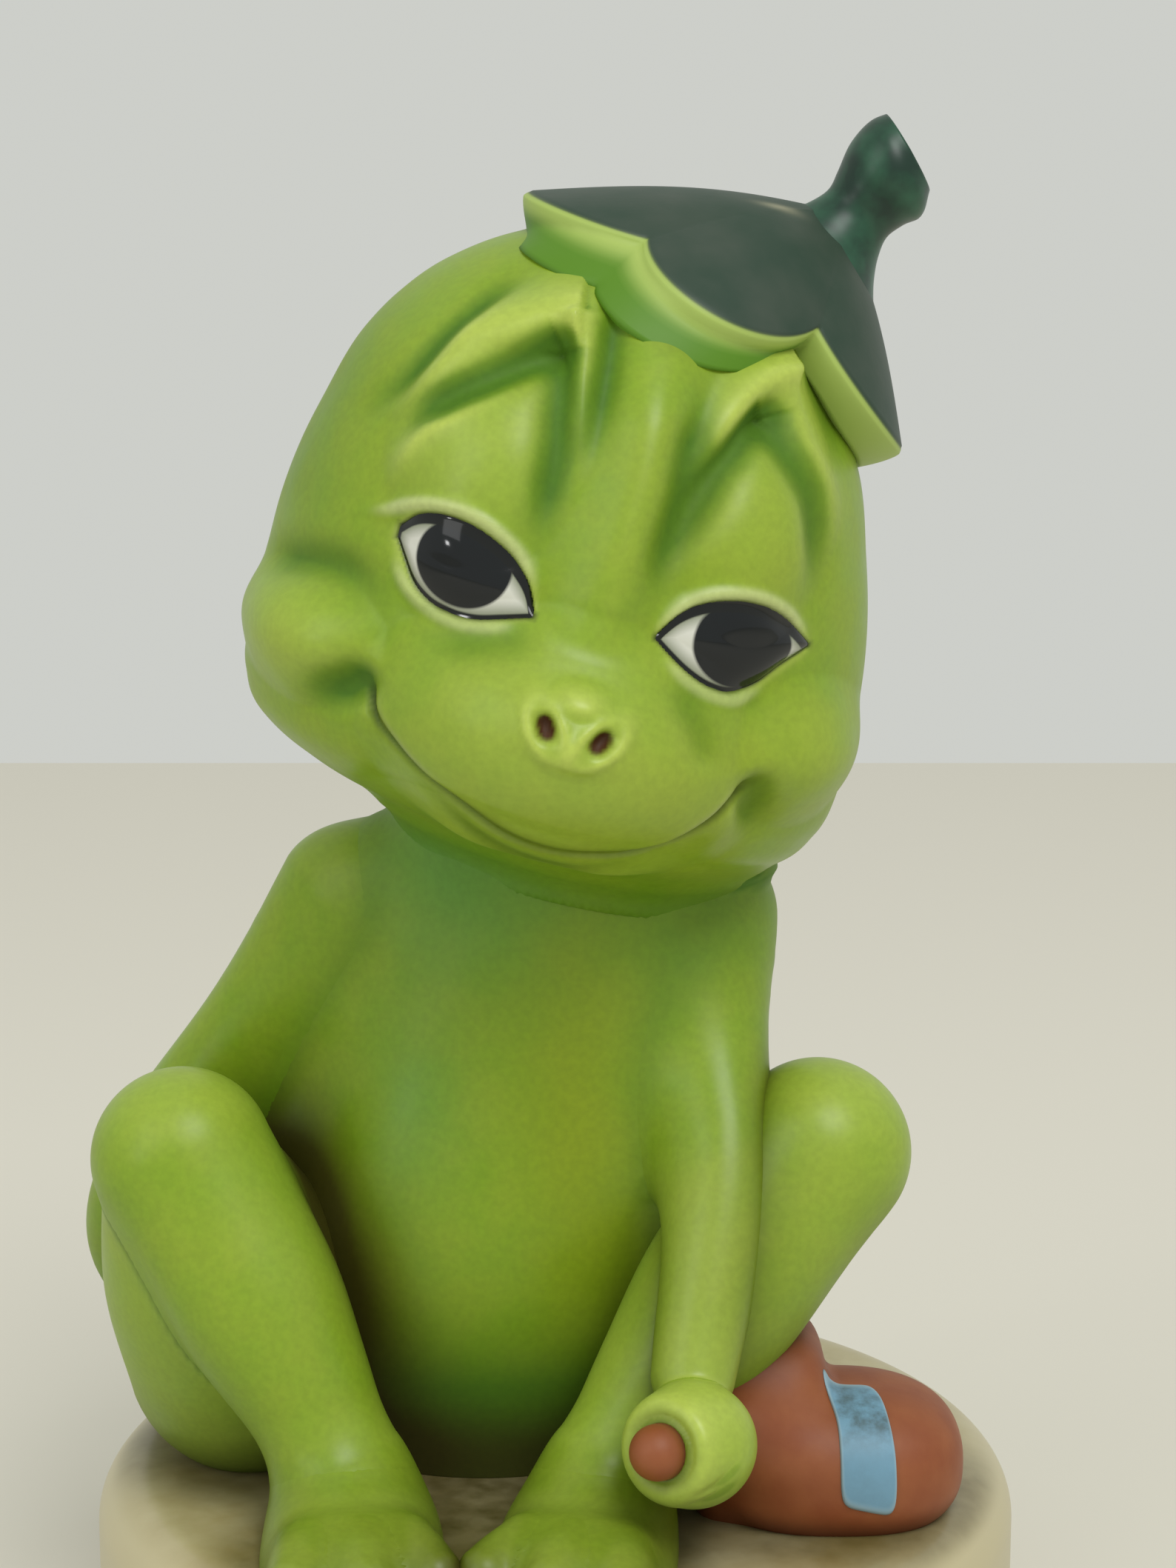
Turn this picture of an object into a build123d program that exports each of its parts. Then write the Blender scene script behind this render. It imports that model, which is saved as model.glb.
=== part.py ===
"""Seated frog figurine with a leaf cap and a sack, slip-cast in separate pieces and luted together.

Millimetres. +Z is up, the frog faces -Y, and the origin is the centre of the base's resting face.
Left and right are the frog's own: its left side is towards +X.
"""

import os
from math import cos, radians, sin, sqrt

from build123d import *

# Base drum
base_diameter = 90.0
base_height = 24.0
base_rim_radius = 5.0
base_foot_radius = 1.2
base_wall = 4.5
vent_diameter = 3.4

# Torso: a pear that stands on the base, in levels from the seat up to the neck
torso_shift = -7.0
torso_setback = 8.5
torso_wall = 3.5
seat_width = 37.0
seat_depth = 34.0
hip_rise = 8.0
hip_width = 42.0
hip_depth = 38.5
belly_rise = 15.0
belly_width = 45.0
belly_depth = 41.0
belly_offset = (0.8, 0.6)
chest_rise = 20.0
chest_width = 40.0
chest_depth = 33.0
chest_offset = (4.0, 2.0)
shoulder_rise = 13.0
shoulder_width = 35.0
shoulder_depth = 28.0
shoulder_offset = (7.4, 4.5)
neck_rise = 17.0
neck_width = 25.0
neck_depth = 21.0
neck_offset = (6.0, 7.0)

# Head: levels measured up and down from the cheeks, rolled towards the left shoulder
head_roll = 16.5
head_turn = 3.0
head_shift = 0.4
head_forwards = 3.5
head_lift = 2.8
head_wall = 4.5
chin_drop = 5.6
chin_width = 27.0
chin_depth = 26.0
jaw_drop = 10.0
jaw_width = 47.0
jaw_depth = 43.0
cheek_width = 58.0
cheek_depth = 52.0
eye_rise = 12.0
eye_line_width = 55.0
eye_line_depth = 52.0
brow_rise = 14.5
brow_width = 48.5
brow_depth = 46.0
brow_shift = -1.0
crown_rise = 12.0
crown_width = 34.0
crown_depth = 31.0
crown_shift = -1.2
peak_rise = 5.5
peak_width = 15.0
peak_depth = 13.0

# Face, as across, forwards and up from the middle of the cheek level
muzzle_size = (34.0, 22.0, 17.5)
muzzle_place = (0.5, 20.5, -0.5)
cheek_ball_size = (16.0, 18.0, 15.5)
cheek_ball_place = (21.8, 12.5, 0.0)
eyelid_size = (19.5, 15.0, 23.0)
eyelid_place = (11.6, 18.0, 19.5)
nose_ridge_radii = (4.2, 3.4)
nose_ridge_bottom = (0.5, 22.5, 6.5)
nose_ridge_top = (1.0, 19.5, 27.0)
eye_width = 14.0
eye_upper_height = 3.6
eye_lower_height = 4.6
eye_ball_radius = 9.0
eye_bulge = 2.2
eye_sink = 2.5
eye_place = (11.8, 24.5, 12.6)
eye_turn = 22.0
mouth_width = 32.0
mouth_drop = 6.0
mouth_height = -0.7
mouth_groove_radius = 1.2
nostril_diameter = 1.6
nostril_spacing = 5.4
nostril_place = (1.0, 30.0, 2.6)
nostril_depth = 4.0

# Leaf cap: a cornered leaf bent over a cone, with its stalk at the peak
cap_place = (13.5, -3.0, 50.6)
cap_lean = 22.9
cap_half_angle = 54.5
cap_thickness = 6.0
cap_corners = ((180.0, 23.6), (227.0, 18.7), (287.5, 13.6), (10.0, 18.2), (85.0, 15.0))
cap_lobes = ((206.0, 22.8), (255.0, 20.8), (325.0, 17.5), (45.0, 18.0), (128.0, 20.5))
stem_length = 8.8
stem_root_radius = 3.3
stem_neck_radius = 2.5
stem_end_radius = 3.8
stem_neck_share = 0.3
stem_end_share = 0.65
stem_end_slope = 20.0

# Legs: joints as across and forwards from the torso's middle, and up from the base
hip_radius = 12.2
haunch_radius = 12.6
knee_radius = 8.6
calf_radius = 8.2
ankle_radius = 4.9
right_hip = (-22.5, -1.0, 12.2)
right_knee = (-28.0, 19.0, 33.0)
right_ankle = (-12.7, 26.5, 6.0)
left_hip = (15.0, -3.0, 12.2)
left_knee = (32.0, 16.8, 33.0)
left_ankle = (12.2, 27.3, 6.4)

# Feet: three webbed toes fanned from the ankle
heel_radius = 5.2
heel_height = 3.6
toe_length = 15.5
toe_radius = 3.0
toe_tip_radius = 2.5
toe_spread = 19.0
web_length = 12.0
web_thickness = 2.4
right_foot_turn = 10.0
left_foot_turn = -16.0

# Arms and hands
shoulder_ball_radius = 7.2
upper_arm_radius = 5.9
elbow_radius = 5.7
forearm_radius = 5.0
wrist_radius = 3.9
right_shoulder = (-13.5, 3.5, 55.0)
right_elbow = (-34.5, 0.5, 24.0)
right_wrist = (-32.0, -6.5, 8.0)
right_hand_size = (11.0, 13.0, 7.5)
right_hand_reach = (2.5, -3.5)
left_shoulder = (20.0, 6.0, 53.0)
left_elbow = (22.2, 21.0, 33.5)
left_wrist = (19.4, 31.0, 16.0)
left_fist_reach = (0.4, 5.5, -5.3)
fist_size = (12.0, 11.6, 11.2)
finger_radius = 2.2
finger_length = 6.0
finger_spacing = 3.4
finger_count = 3

# Sack: lies against the left leg, its gathered neck in the left fist
sack_place = (32.7, 21.5)
sack_size = (24.5, 21.0, 16.0)
sack_sink = 0.8
sack_wall = 3.0
sack_fold_size = (13.0, 15.0, 17.0)
sack_fold_place = (-6.5, -2.0, 10.5)
sack_root_share = 0.35
sack_neck_radii = (5.6, 3.4, 2.9, 3.2)
sack_neck_past_fist = 5.0
patch_width = 6.2
patch_length = 19.0
patch_thickness = 0.5
patch_shift = 3.6
patch_turn = -8.0

# Derived levels and places
seat_plane = base_height
hip_level = hip_rise
belly_level = hip_level + belly_rise
chest_level = belly_level + chest_rise
shoulder_level = chest_level + shoulder_rise
neck_level = shoulder_level + neck_rise
eye_level = eye_rise
brow_level = eye_level + brow_rise
crown_level = brow_level + crown_rise
peak_level = crown_level + peak_rise
chin_level = -jaw_drop - chin_drop
roll = radians(head_roll)
cap_slope = radians(90.0 - cap_half_angle)


def on_body(place):
    """A point given as across and forwards from the torso's middle, and up from the base."""
    across, forwards, up = place
    return Vector(torso_shift + across, torso_setback - forwards, seat_plane + up)


head_middle = on_body((neck_offset[0] + head_shift, neck_offset[1] + head_forwards, neck_level + head_lift))
head_frame = Plane(
    origin=head_middle, x_dir=(cos(roll), 0, -sin(roll)), z_dir=(sin(roll), 0, cos(roll))
) * Rot(Z=head_turn)
cap_frame = head_frame * Pos(cap_place[0], -cap_place[1], cap_place[2]) * Rot(Y=cap_lean)
below_seat = Pos(0, 0, seat_plane) * Box(
    3 * base_diameter, 3 * base_diameter, 2 * base_height, align=(Align.CENTER, Align.CENTER, Align.MAX)
)
sack_middle = on_body((*sack_place, sack_size[2] / 2 - sack_sink))
fist_middle = on_body(tuple(a + b for a, b in zip(left_wrist, left_fist_reach)))


def on_face(place, side=1):
    """A place on the head from across, forwards and up, on one side of the face."""
    across, forwards, up = place
    return Pos(side * across, -forwards, up)


def ellipsoid(size, grow=0.0):
    """A ball stretched to three overall sizes, grown or shrunk all round."""
    return scale(Sphere(1), by=tuple(length / 2 + grow for length in size))


def limb(start, end, *radii):
    """A straight round limb with domed ends, through radii spaced evenly from start to end."""
    run = Vector(*end) - Vector(*start)
    gap = run.length / (len(radii) - 1)
    sides = [(radius, index * gap) for index, radius in enumerate(radii)]
    outline = [
        RadiusArc((0, -radii[0]), sides[0], -radii[0]),
        Spline(sides, tangents=((0, 1), (0, 1))),
        RadiusArc(sides[-1], (0, run.length + radii[-1]), -radii[-1]),
        Line((0, run.length + radii[-1]), (0, -radii[0])),
    ]
    upright = revolve(Plane.XZ * make_face(outline), Axis.Z)
    return Plane(origin=start, z_dir=run) * upright


def stack(rows, grow=0.0):
    """A solid through level ellipses given as (x, y, z, width, depth), with its seam at the back."""
    levels = []
    for x, y, z, width, depth in rows:
        levels.append(Pos(x, y, z) * Rot(Z=90) * Ellipse(depth / 2 + grow, width / 2 + grow))
    return loft(levels)


def drain(place):
    """An upright drain hole through the walls that meet at a place."""
    return Pos(*place) * Cylinder(vent_diameter / 2, 4 * base_wall)


seat_drain = drain((torso_shift, torso_setback, seat_plane))
sack_drain = drain((sack_middle.X, sack_middle.Y, seat_plane))
foot_drain = drain((0, base_diameter / 4, 0))


def stump_base():
    """A drum with a rounded rim, hollow, with drain holes."""
    standing = (Align.CENTER, Align.CENTER, Align.MIN)
    drum = Cylinder(base_diameter / 2, base_height, align=standing)
    drum = fillet(drum.edges().sort_by(Axis.Z)[-1], base_rim_radius)
    drum = fillet(drum.edges().sort_by(Axis.Z)[0], base_foot_radius)
    hollow = Cylinder(base_diameter / 2 - base_wall, base_height - 2 * base_wall, align=standing)
    return drum - Pos(0, 0, base_wall) * hollow - seat_drain - sack_drain - foot_drain


def torso_form(inset=0.0):
    """The pear's outer form, or its hollow when inset is the wall."""
    rows = (
        (inset, seat_width, seat_depth, (0.0, 0.0)),
        (hip_level, hip_width, hip_depth, (0.0, 0.0)),
        (belly_level, belly_width, belly_depth, belly_offset),
        (chest_level, chest_width, chest_depth, chest_offset),
        (shoulder_level - 2 * inset, shoulder_width, shoulder_depth, shoulder_offset),
        (neck_level, neck_width, neck_depth, neck_offset),
    )
    if inset:
        rows = rows[:-1]
    placed = []
    for level, width, depth, (across, forwards) in rows:
        placed.append((*on_body((across, forwards, level)), width, depth))
    return stack(placed, -inset)


def skull(inset=0.0):
    """The head's smooth form without its face, in the head's own frame."""
    rows = (
        (0.0, chin_level + inset, chin_width, chin_depth),
        (0.0, -jaw_drop, jaw_width, jaw_depth),
        (0.0, 0.0, cheek_width, cheek_depth),
        (0.0, eye_level, eye_line_width, eye_line_depth),
        (brow_shift, brow_level, brow_width, brow_depth),
        (crown_shift, crown_level, crown_width, crown_depth),
        (crown_shift, peak_level - inset, peak_width, peak_depth),
    )
    return stack([(shift, 0, level, width, depth) for shift, level, width, depth in rows], -inset)


def face():
    """The muzzle, cheeks, eyelids and nose ridge that stand out from the skull."""
    pieces = [on_face(muzzle_place) * ellipsoid(muzzle_size)]
    for side in (-1, 1):
        pieces.append(on_face(cheek_ball_place, side) * ellipsoid(cheek_ball_size))
        pieces.append(on_face(eyelid_place, side) * ellipsoid(eyelid_size))
    ridge_ends = [on_face(place).position for place in (nose_ridge_bottom, nose_ridge_top)]
    return pieces + [limb(*ridge_ends, *nose_ridge_radii)]


def eye_socket(side):
    """An almond prism from the back of the eye out past the lids, turned to follow the face round."""
    left, right = (-eye_width / 2, 0), (eye_width / 2, 0)
    upper_lid = ThreePointArc(left, (0, eye_upper_height), right)
    lower_lid = ThreePointArc(right, (0, -eye_lower_height), left)
    almond = extrude(Plane.XZ * make_face([upper_lid, lower_lid]), amount=eye_sink + eye_ball_radius)
    return on_face(eye_place, side) * Rot(Z=side * eye_turn) * Pos(0, eye_sink, 0) * almond


def eye(side):
    """A domed eye that fills its socket and bulges between the lids."""
    ball = Pos(0, eye_ball_radius - eye_bulge, 0) * Sphere(eye_ball_radius)
    return eye_socket(side) & on_face(eye_place, side) * Rot(Z=side * eye_turn) * ball


def muzzle_front(across, up):
    """How far forwards the muzzle's surface stands at a place across and up the face."""
    flat = ((across - muzzle_place[0]) / muzzle_size[0]) ** 2 + ((up - muzzle_place[2]) / muzzle_size[2]) ** 2
    return muzzle_place[1] + muzzle_size[1] / 2 * sqrt(max(0.0, 1 - 4 * flat))


def mouth_groove():
    """A round smiling groove along the muzzle from one cheek to the other."""
    points = []
    for side in (-1, 0, 1):
        across = side * mouth_width / 2
        up = mouth_height - mouth_drop * (1 - abs(side))
        points.append(on_face((across, muzzle_front(across, up), up)).position)
    smile = ThreePointArc(*points)
    return sweep(Plane(origin=points[0], z_dir=smile % 0) * Circle(mouth_groove_radius), path=smile)


def head_form():
    """The head with its face, before anything is cut into it."""
    return skull() + face()


def head(form):
    """The hollow head with pockets for the eyes, a mouth and nostrils."""
    body = form - skull(head_wall) - eye_socket(-1) - eye_socket(1) - mouth_groove()
    for side in (-1, 1):
        place = (nostril_place[0] + side * nostril_spacing / 2, *nostril_place[1:])
        body -= on_face(place) * Rot(X=90) * Cylinder(nostril_diameter / 2, 2 * nostril_depth)
    return body - Pos(0, 0, chin_level) * Cylinder(vent_diameter / 2, 4 * head_wall)


def cap_form():
    """The leaf: a cornered outline with bulging edges, bent over a cone, in the cap's own frame."""
    corners, lobes = [
        [Vector(reach * cos(radians(angle)), reach * sin(radians(angle))) for angle, reach in places]
        for places in (cap_corners, cap_lobes)
    ]
    edges = []
    for start, lobe, end in zip(corners, lobes, corners[1:] + corners[:1]):
        edges.append(ThreePointArc(start, lobe, end))
    reach = 2 * max(reach for angle, reach in cap_corners + cap_lobes)
    drop = reach * sin(cap_slope) / cos(cap_slope)
    hanging = (Align.CENTER, Align.CENTER, Align.MAX)
    cone = Cone(reach, 0, drop, align=hanging)
    leaf = extrude(make_face(edges), amount=-drop)
    return (leaf & cone) - Pos(0, 0, -cap_thickness) * cone


def stem_form():
    """The stalk: flared at both ends, its end cut on a slope, in the cap's own frame."""
    neck_at, end_at = stem_neck_share * stem_length, stem_end_share * stem_length
    levels = (-cap_thickness / 2, 0.0, neck_at, end_at, stem_length)
    radii = (stem_root_radius, stem_root_radius, stem_neck_radius, stem_end_radius, stem_end_radius)
    stalk = loft([Pos(0, 0, level) * Circle(radius) for level, radius in zip(levels, radii)])
    low_side = stem_length - stem_end_radius * sin(radians(stem_end_slope))
    above = Box(*[6 * stem_end_radius] * 3, align=(Align.CENTER, Align.CENTER, Align.MIN))
    return stalk - Pos(0, 0, low_side) * Rot(Y=stem_end_slope) * above


def leg_form(hip, knee, ankle):
    """A folded leg: a full thigh that rises to the knee, and a shin that comes down to the foot."""
    thigh = limb(on_body(hip), on_body(knee), hip_radius, haunch_radius, knee_radius)
    shin = limb(on_body(knee), on_body(ankle), knee_radius, calf_radius, ankle_radius)
    return thigh + shin - below_seat


def foot_form(ankle, turn):
    """A heel and three webbed toes that lie flat on the base."""
    heel = on_body((ankle[0], ankle[1], heel_height))
    foot = Pos(*heel) * Sphere(heel_radius)
    tips = []
    for toe in (-1, 0, 1):
        angle = radians(turn + toe * toe_spread)
        ahead = Vector(sin(angle), -cos(angle))
        tip = heel + ahead * toe_length + Vector(0, 0, toe_tip_radius - heel_height)
        foot += limb(heel, tip, toe_radius, toe_tip_radius)
        tips.append(heel + ahead * web_length)
    web = make_face(Polyline(*[Vector(p.X, p.Y, seat_plane) for p in (heel, *tips)], close=True))
    return foot + extrude(web, amount=web_thickness, dir=(0, 0, 1)) - below_seat


def arm_form(shoulder, elbow, wrist):
    """An upper arm and a forearm that meet at the elbow."""
    upper = limb(on_body(shoulder), on_body(elbow), shoulder_ball_radius, upper_arm_radius, elbow_radius)
    lower = limb(on_body(elbow), on_body(wrist), elbow_radius, forearm_radius, wrist_radius)
    return upper + lower - below_seat


def right_hand_form():
    """A palm pressed flat on the base behind the thigh."""
    across, forwards, up = right_wrist
    palm = on_body((across + right_hand_reach[0], forwards + right_hand_reach[1], right_hand_size[2] / 3))
    return Pos(*palm) * ellipsoid(right_hand_size) - below_seat


def left_hand_form():
    """A fist with fingers that wrap down round the sack's neck."""
    fist = Pos(*fist_middle) * ellipsoid(fist_size)
    for finger in range(finger_count):
        along = (finger - (finger_count - 1) / 2) * finger_spacing
        knuckle = fist_middle + Vector(fist_size[0] / 4, along - fist_size[1] / 4, -fist_size[2] / 8)
        tip = knuckle - Vector(finger_length / 2, 0, finger_length / 2)
        fist += limb(knuckle, tip, finger_radius, finger_radius)
    return fist


def sack_form(grow=0.0):
    """A slumped sack with a fold that stands up beside the leg."""
    bulk = Pos(*sack_middle) * ellipsoid(sack_size, grow)
    across, forwards, up = sack_fold_place
    fold = Vector(sack_middle.X + across, sack_middle.Y - forwards, seat_plane + up)
    return bulk + Pos(*fold) * ellipsoid(sack_fold_size, grow)


def sack_neck_form():
    """The gathered cloth that runs from the sack through the fist."""
    run = fist_middle - sack_middle
    end = fist_middle + run.normalized() * (fist_size[0] / 2 + sack_neck_past_fist - sack_neck_radii[-1])
    return limb(sack_middle + run * sack_root_share, end, *sack_neck_radii)


def sack_patch(leg):
    """A sewn patch that lies over the top of the sack."""
    thread = Pos(sack_middle.X + patch_shift, sack_middle.Y, seat_plane) * Rot(Z=patch_turn)
    blank = RectangleRounded(patch_width, patch_length, patch_width / 4)
    prism = thread * Pos(0, -sack_size[1] / 4, 0) * extrude(blank, amount=2 * sack_size[2])
    return prism & sack_form(patch_thickness) - sack_form() - leg


def without(form, *cutters):
    """A form with the pieces it meets cut out of it, so that they lie face to face."""
    for cutter in cutters:
        form -= cutter
    return form


def assemble():
    """Every piece by name, each cut by the pieces it is luted to."""
    torso = torso_form()
    skull_and_face = head_form()
    placed_head = head_frame * skull_and_face
    placed_skull = head_frame * skull()
    right_leg = without(leg_form(right_hip, right_knee, right_ankle), torso)
    left_leg = without(leg_form(left_hip, left_knee, left_ankle), torso)
    right_arm = without(arm_form(right_shoulder, right_elbow, right_wrist), torso, placed_skull, right_leg)
    left_arm = without(arm_form(left_shoulder, left_elbow, left_wrist), torso, placed_skull, left_leg)
    right_foot = without(foot_form(right_ankle, right_foot_turn), right_leg, torso)
    left_foot = without(foot_form(left_ankle, left_foot_turn), left_leg, torso)
    sack = without(sack_form() - below_seat, left_leg, left_foot, left_arm, torso)
    neck = without(sack_neck_form(), sack_form(), left_leg, left_foot)
    left_hand = without(left_hand_form(), left_arm, neck, sack, left_leg, left_foot)
    hollow_sack = Pos(*sack_middle) * ellipsoid(sack_size, -sack_wall) - below_seat
    cap = cap_form()
    stem = cap_frame * without(stem_form(), cap)
    neck_drain = head_frame * Pos(0, 0, chin_level) * Cylinder(vent_diameter / 2, 8 * torso_wall)
    return {
        "stump_base": stump_base(),
        "torso": without(torso, torso_form(torso_wall), seat_drain, neck_drain, placed_skull),
        "head": head_frame * head(skull_and_face),
        "right_eye": head_frame * eye(-1),
        "left_eye": head_frame * eye(1),
        "leaf_cap": without(cap_frame * cap, placed_head),
        "cap_stem": stem,
        "right_leg": right_leg,
        "left_leg": left_leg,
        "right_foot": right_foot,
        "left_foot": left_foot,
        "right_arm": right_arm,
        "left_arm": left_arm,
        "right_hand": without(right_hand_form(), right_arm, right_leg, torso),
        "left_hand": left_hand,
        "sack": without(sack, hollow_sack, sack_drain),
        "sack_neck": neck,
        "sack_patch": sack_patch(left_leg),
    }


os.makedirs("parts", exist_ok=True)
for name, piece in assemble().items():
    export_step(piece, f"parts/{name}.step")
    print(name, round(piece.volume / 1000, 2), "cm3")
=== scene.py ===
import math

import bpy
import numpy as np
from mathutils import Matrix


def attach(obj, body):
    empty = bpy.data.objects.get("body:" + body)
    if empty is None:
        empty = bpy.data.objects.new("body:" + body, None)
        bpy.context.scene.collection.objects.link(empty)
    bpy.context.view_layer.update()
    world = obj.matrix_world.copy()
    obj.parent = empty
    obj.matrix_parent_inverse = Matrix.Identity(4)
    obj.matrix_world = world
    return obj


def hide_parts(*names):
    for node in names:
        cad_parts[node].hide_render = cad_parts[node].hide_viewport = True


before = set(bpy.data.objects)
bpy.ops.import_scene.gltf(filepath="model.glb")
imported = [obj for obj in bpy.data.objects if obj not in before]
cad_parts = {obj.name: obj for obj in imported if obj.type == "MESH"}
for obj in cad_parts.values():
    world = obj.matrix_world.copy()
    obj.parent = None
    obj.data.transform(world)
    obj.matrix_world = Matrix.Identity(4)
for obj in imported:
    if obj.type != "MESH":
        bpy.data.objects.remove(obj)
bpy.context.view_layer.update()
print("frame:", len(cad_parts), "nodes")

# Everything is worked out in millimetres in the row frame: +Z up, the frog faces -Y.
seatLevel = 24.0
torsoMiddle = (-7.0, 8.5)
bedded = 0.3  # how far what rests on the base goes into it
lastLift = 88.0  # degrees up a dome to its last ring, which closes on a point
curvePieces = 12  # a bent limb's distance is taken from this many straight bones


# a place given as across and forwards from the torso's middle and up from the base
def onBody(across, forwards, up):
    return np.array([torsoMiddle[0] + across, torsoMiddle[1] - forwards, seatLevel + up])


# a smooth curve through values at rising stations: cubic pieces that share their slopes
def through(stations, values, at):
    stations, values, at = np.asarray(stations, float), np.asarray(values, float), np.asarray(at, float)
    slopes = np.gradient(values, stations, axis=0)
    piece = np.clip(np.searchsorted(stations, at) - 1, 0, len(stations) - 2)
    span = stations[piece + 1] - stations[piece]
    t = np.clip((at - stations[piece]) / span, 0, 1)
    if values.ndim > 1:
        span, t = span[..., None], t[..., None]
    start = (1 + 2 * t) * (1 - t) ** 2 * values[piece] + t * (1 - t) ** 2 * span * slopes[piece]
    end = t ** 2 * (3 - 2 * t) * values[piece + 1] + t ** 2 * (t - 1) * span * slopes[piece + 1]
    return start + end


def ease(low, high, value):  # 0 below low, 1 above high, smooth between
    t = np.clip((value - low) / (high - low), 0, 1)
    return t * t * (3 - 2 * t)


def unit(vectors):
    return vectors / np.maximum(np.linalg.norm(vectors, axis=-1, keepdims=True), 1e-9)


def fullTurn(count):  # angles once round, without the closing one
    return np.linspace(0, 2 * np.pi, count, endpoint=False)


# unit vectors all round a middle, in level rings from the lower pole to the upper one
def directions(rings, around):
    lift, turn = np.radians(np.linspace(-lastLift, lastLift, rings))[:, None], fullTurn(around)
    return np.stack([np.cos(lift) * np.cos(turn), np.cos(lift) * np.sin(turn), np.sin(lift) + 0 * turn], -1)


# a shade that grows between two values: amount, low, high
def growing(shade, value):
    return shade[0] * ease(shade[1], shade[2], value)


# a shade that is full at a form's skin and inside it and fades outside: amount, reach
def nearness(shade, distance, power=1):
    return shade[0] * np.exp(-(np.maximum(distance, 0) / shade[1]) ** power)


# a soft spot of shade that falls as a bell: amount, middle in x and y, radius in x and y
def spot(shade, x, y):
    amount, middleX, middleY, wide, tall = shade
    return amount * np.exp(-((x - middleX) / wide) ** 2 - ((y - middleY) / tall) ** 2)


# outward normals of a grid of rings: the cross product of the steps along and around
def outwards(points):
    along = np.gradient(points, axis=0)
    around = np.roll(points, -1, 1) - np.roll(points, 1, 1)
    normals = unit(np.cross(around, along))
    return normals * np.sign(np.sum(normals * (points - points.mean((0, 1)))))


# rounded union of two distances: the smaller one, eased over a blend width where they are close
def roundedMin(a, b, width):
    share = np.clip(0.5 + 0.5 * (b - a) / width, 0, 1)
    return b + (a - b) * share - width * share * (1 - share)


# a place along a limb's path, as a share of its length: a smooth curve through its points
def alongLimb(limb, share):
    return through(np.linspace(0, 1, len(limb["path"])), limb["path"], np.clip(share, 0, 1))


# a limb's distance: from the nearest point of its bones, less the radius there
def limbDistance(limb, p):
    count = 1 if len(limb["path"]) == 2 else curvePieces
    joints = alongLimb(limb, np.linspace(0, 1, count + 1))
    best = np.full(p.shape[:-1], 1e9)
    for k in range(count):
        run = joints[k + 1] - joints[k]
        t = np.clip((p - joints[k]) @ run / (run @ run), 0, 1)
        radius = through(np.linspace(0, 1, len(limb["radii"])), limb["radii"], (k + t) / count)
        best = np.minimum(best, np.linalg.norm(p - joints[k] - t[..., None] * run, axis=-1) - radius)
    return best


# a limb's surface: rings round its path, closed by a dome at each end
def limbRings(limb, rings, around):
    dome, noLimbsWay, ahead = rings // 4, (0.3, 0.9, 0.2), 0.02
    straight = rings - 2 * dome
    t = np.concatenate([np.zeros(dome), np.linspace(0, 1, straight), np.ones(dome)])
    domeLift = np.linspace(4, lastLift, dome)
    lift = np.radians(np.concatenate([-domeLift[::-1], np.zeros(straight), domeLift]))
    axis = unit(alongLimb(limb, t + ahead) - alongLimb(limb, t - ahead))
    side = unit(np.cross(axis, noLimbsWay))
    other = np.cross(axis, side)
    radius = through(np.linspace(0, 1, len(limb["radii"])), limb["radii"], t)
    turn = fullTurn(around)[:, None]
    spoke = np.cos(turn) * side[:, None] + np.sin(turn) * other[:, None]
    centre = alongLimb(limb, t) + (radius * np.sin(lift))[:, None] * axis
    return centre[:, None] + (radius * np.cos(lift))[:, None, None] * spoke


# an upright form's distance: how far outside its level ellipse a point lies, by the ellipse's first-order formula
def stackDistance(stack, p):
    levels = np.asarray(stack["levels"], float)
    x, y, wide, deep = np.moveaxis(through(levels[:, 0], levels[:, 1:], p[..., 2]), -1, 0)
    qx, qy = (p[..., 0] - x) / wide, (p[..., 1] - y) / deep
    size = np.sqrt(qx ** 2 + qy ** 2) + 1e-6
    slope = np.sqrt((qx / wide) ** 2 + (qy / deep) ** 2) + 1e-6
    level = size * (size - 1) / slope
    above = np.maximum(np.maximum(p[..., 2] - levels[-1, 0], levels[0, 0] - p[..., 2]), 0)
    return np.sqrt(np.maximum(level, 0) ** 2 + above ** 2) + np.minimum(level, 0)


# an upright form's surface: its level ellipse at each height
def stackRings(stack, rise, turn):
    levels = np.asarray(stack["levels"], float)
    x, y, wide, deep = np.moveaxis(through(levels[:, 0], levels[:, 1:], rise)[:, None], -1, 0)
    return np.stack([x + wide * np.cos(turn), y + deep * np.sin(turn), rise[:, None] + 0 * turn], -1)


# a ball stretched to three radii, by the same first-order formula
def ballDistance(ball, p):
    q = (p - np.asarray(ball["middle"], float)) / ball["radii"]
    size = np.linalg.norm(q, axis=-1) + 1e-6
    return size * (size - 1) / (np.linalg.norm(q / ball["radii"], axis=-1) + 1e-6)


# rings of a stretched ball about an upright axis
def ballRings(ball, rings, around):
    return np.asarray(ball["middle"], float) + directions(rings, around) * ball["radii"]


# Joins: rounds of easing and the share of the way each takes; the highest lift and the one in a fillet's middle, as
# shares of the blend's width; how steeply a form dives under its neighbour, and over how many millimetres
joins = {"rounds": 16, "share": 0.8, "highest": 0.5, "middle": 0.3, "steepness": 0.16, "reach": 5.0}


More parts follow.
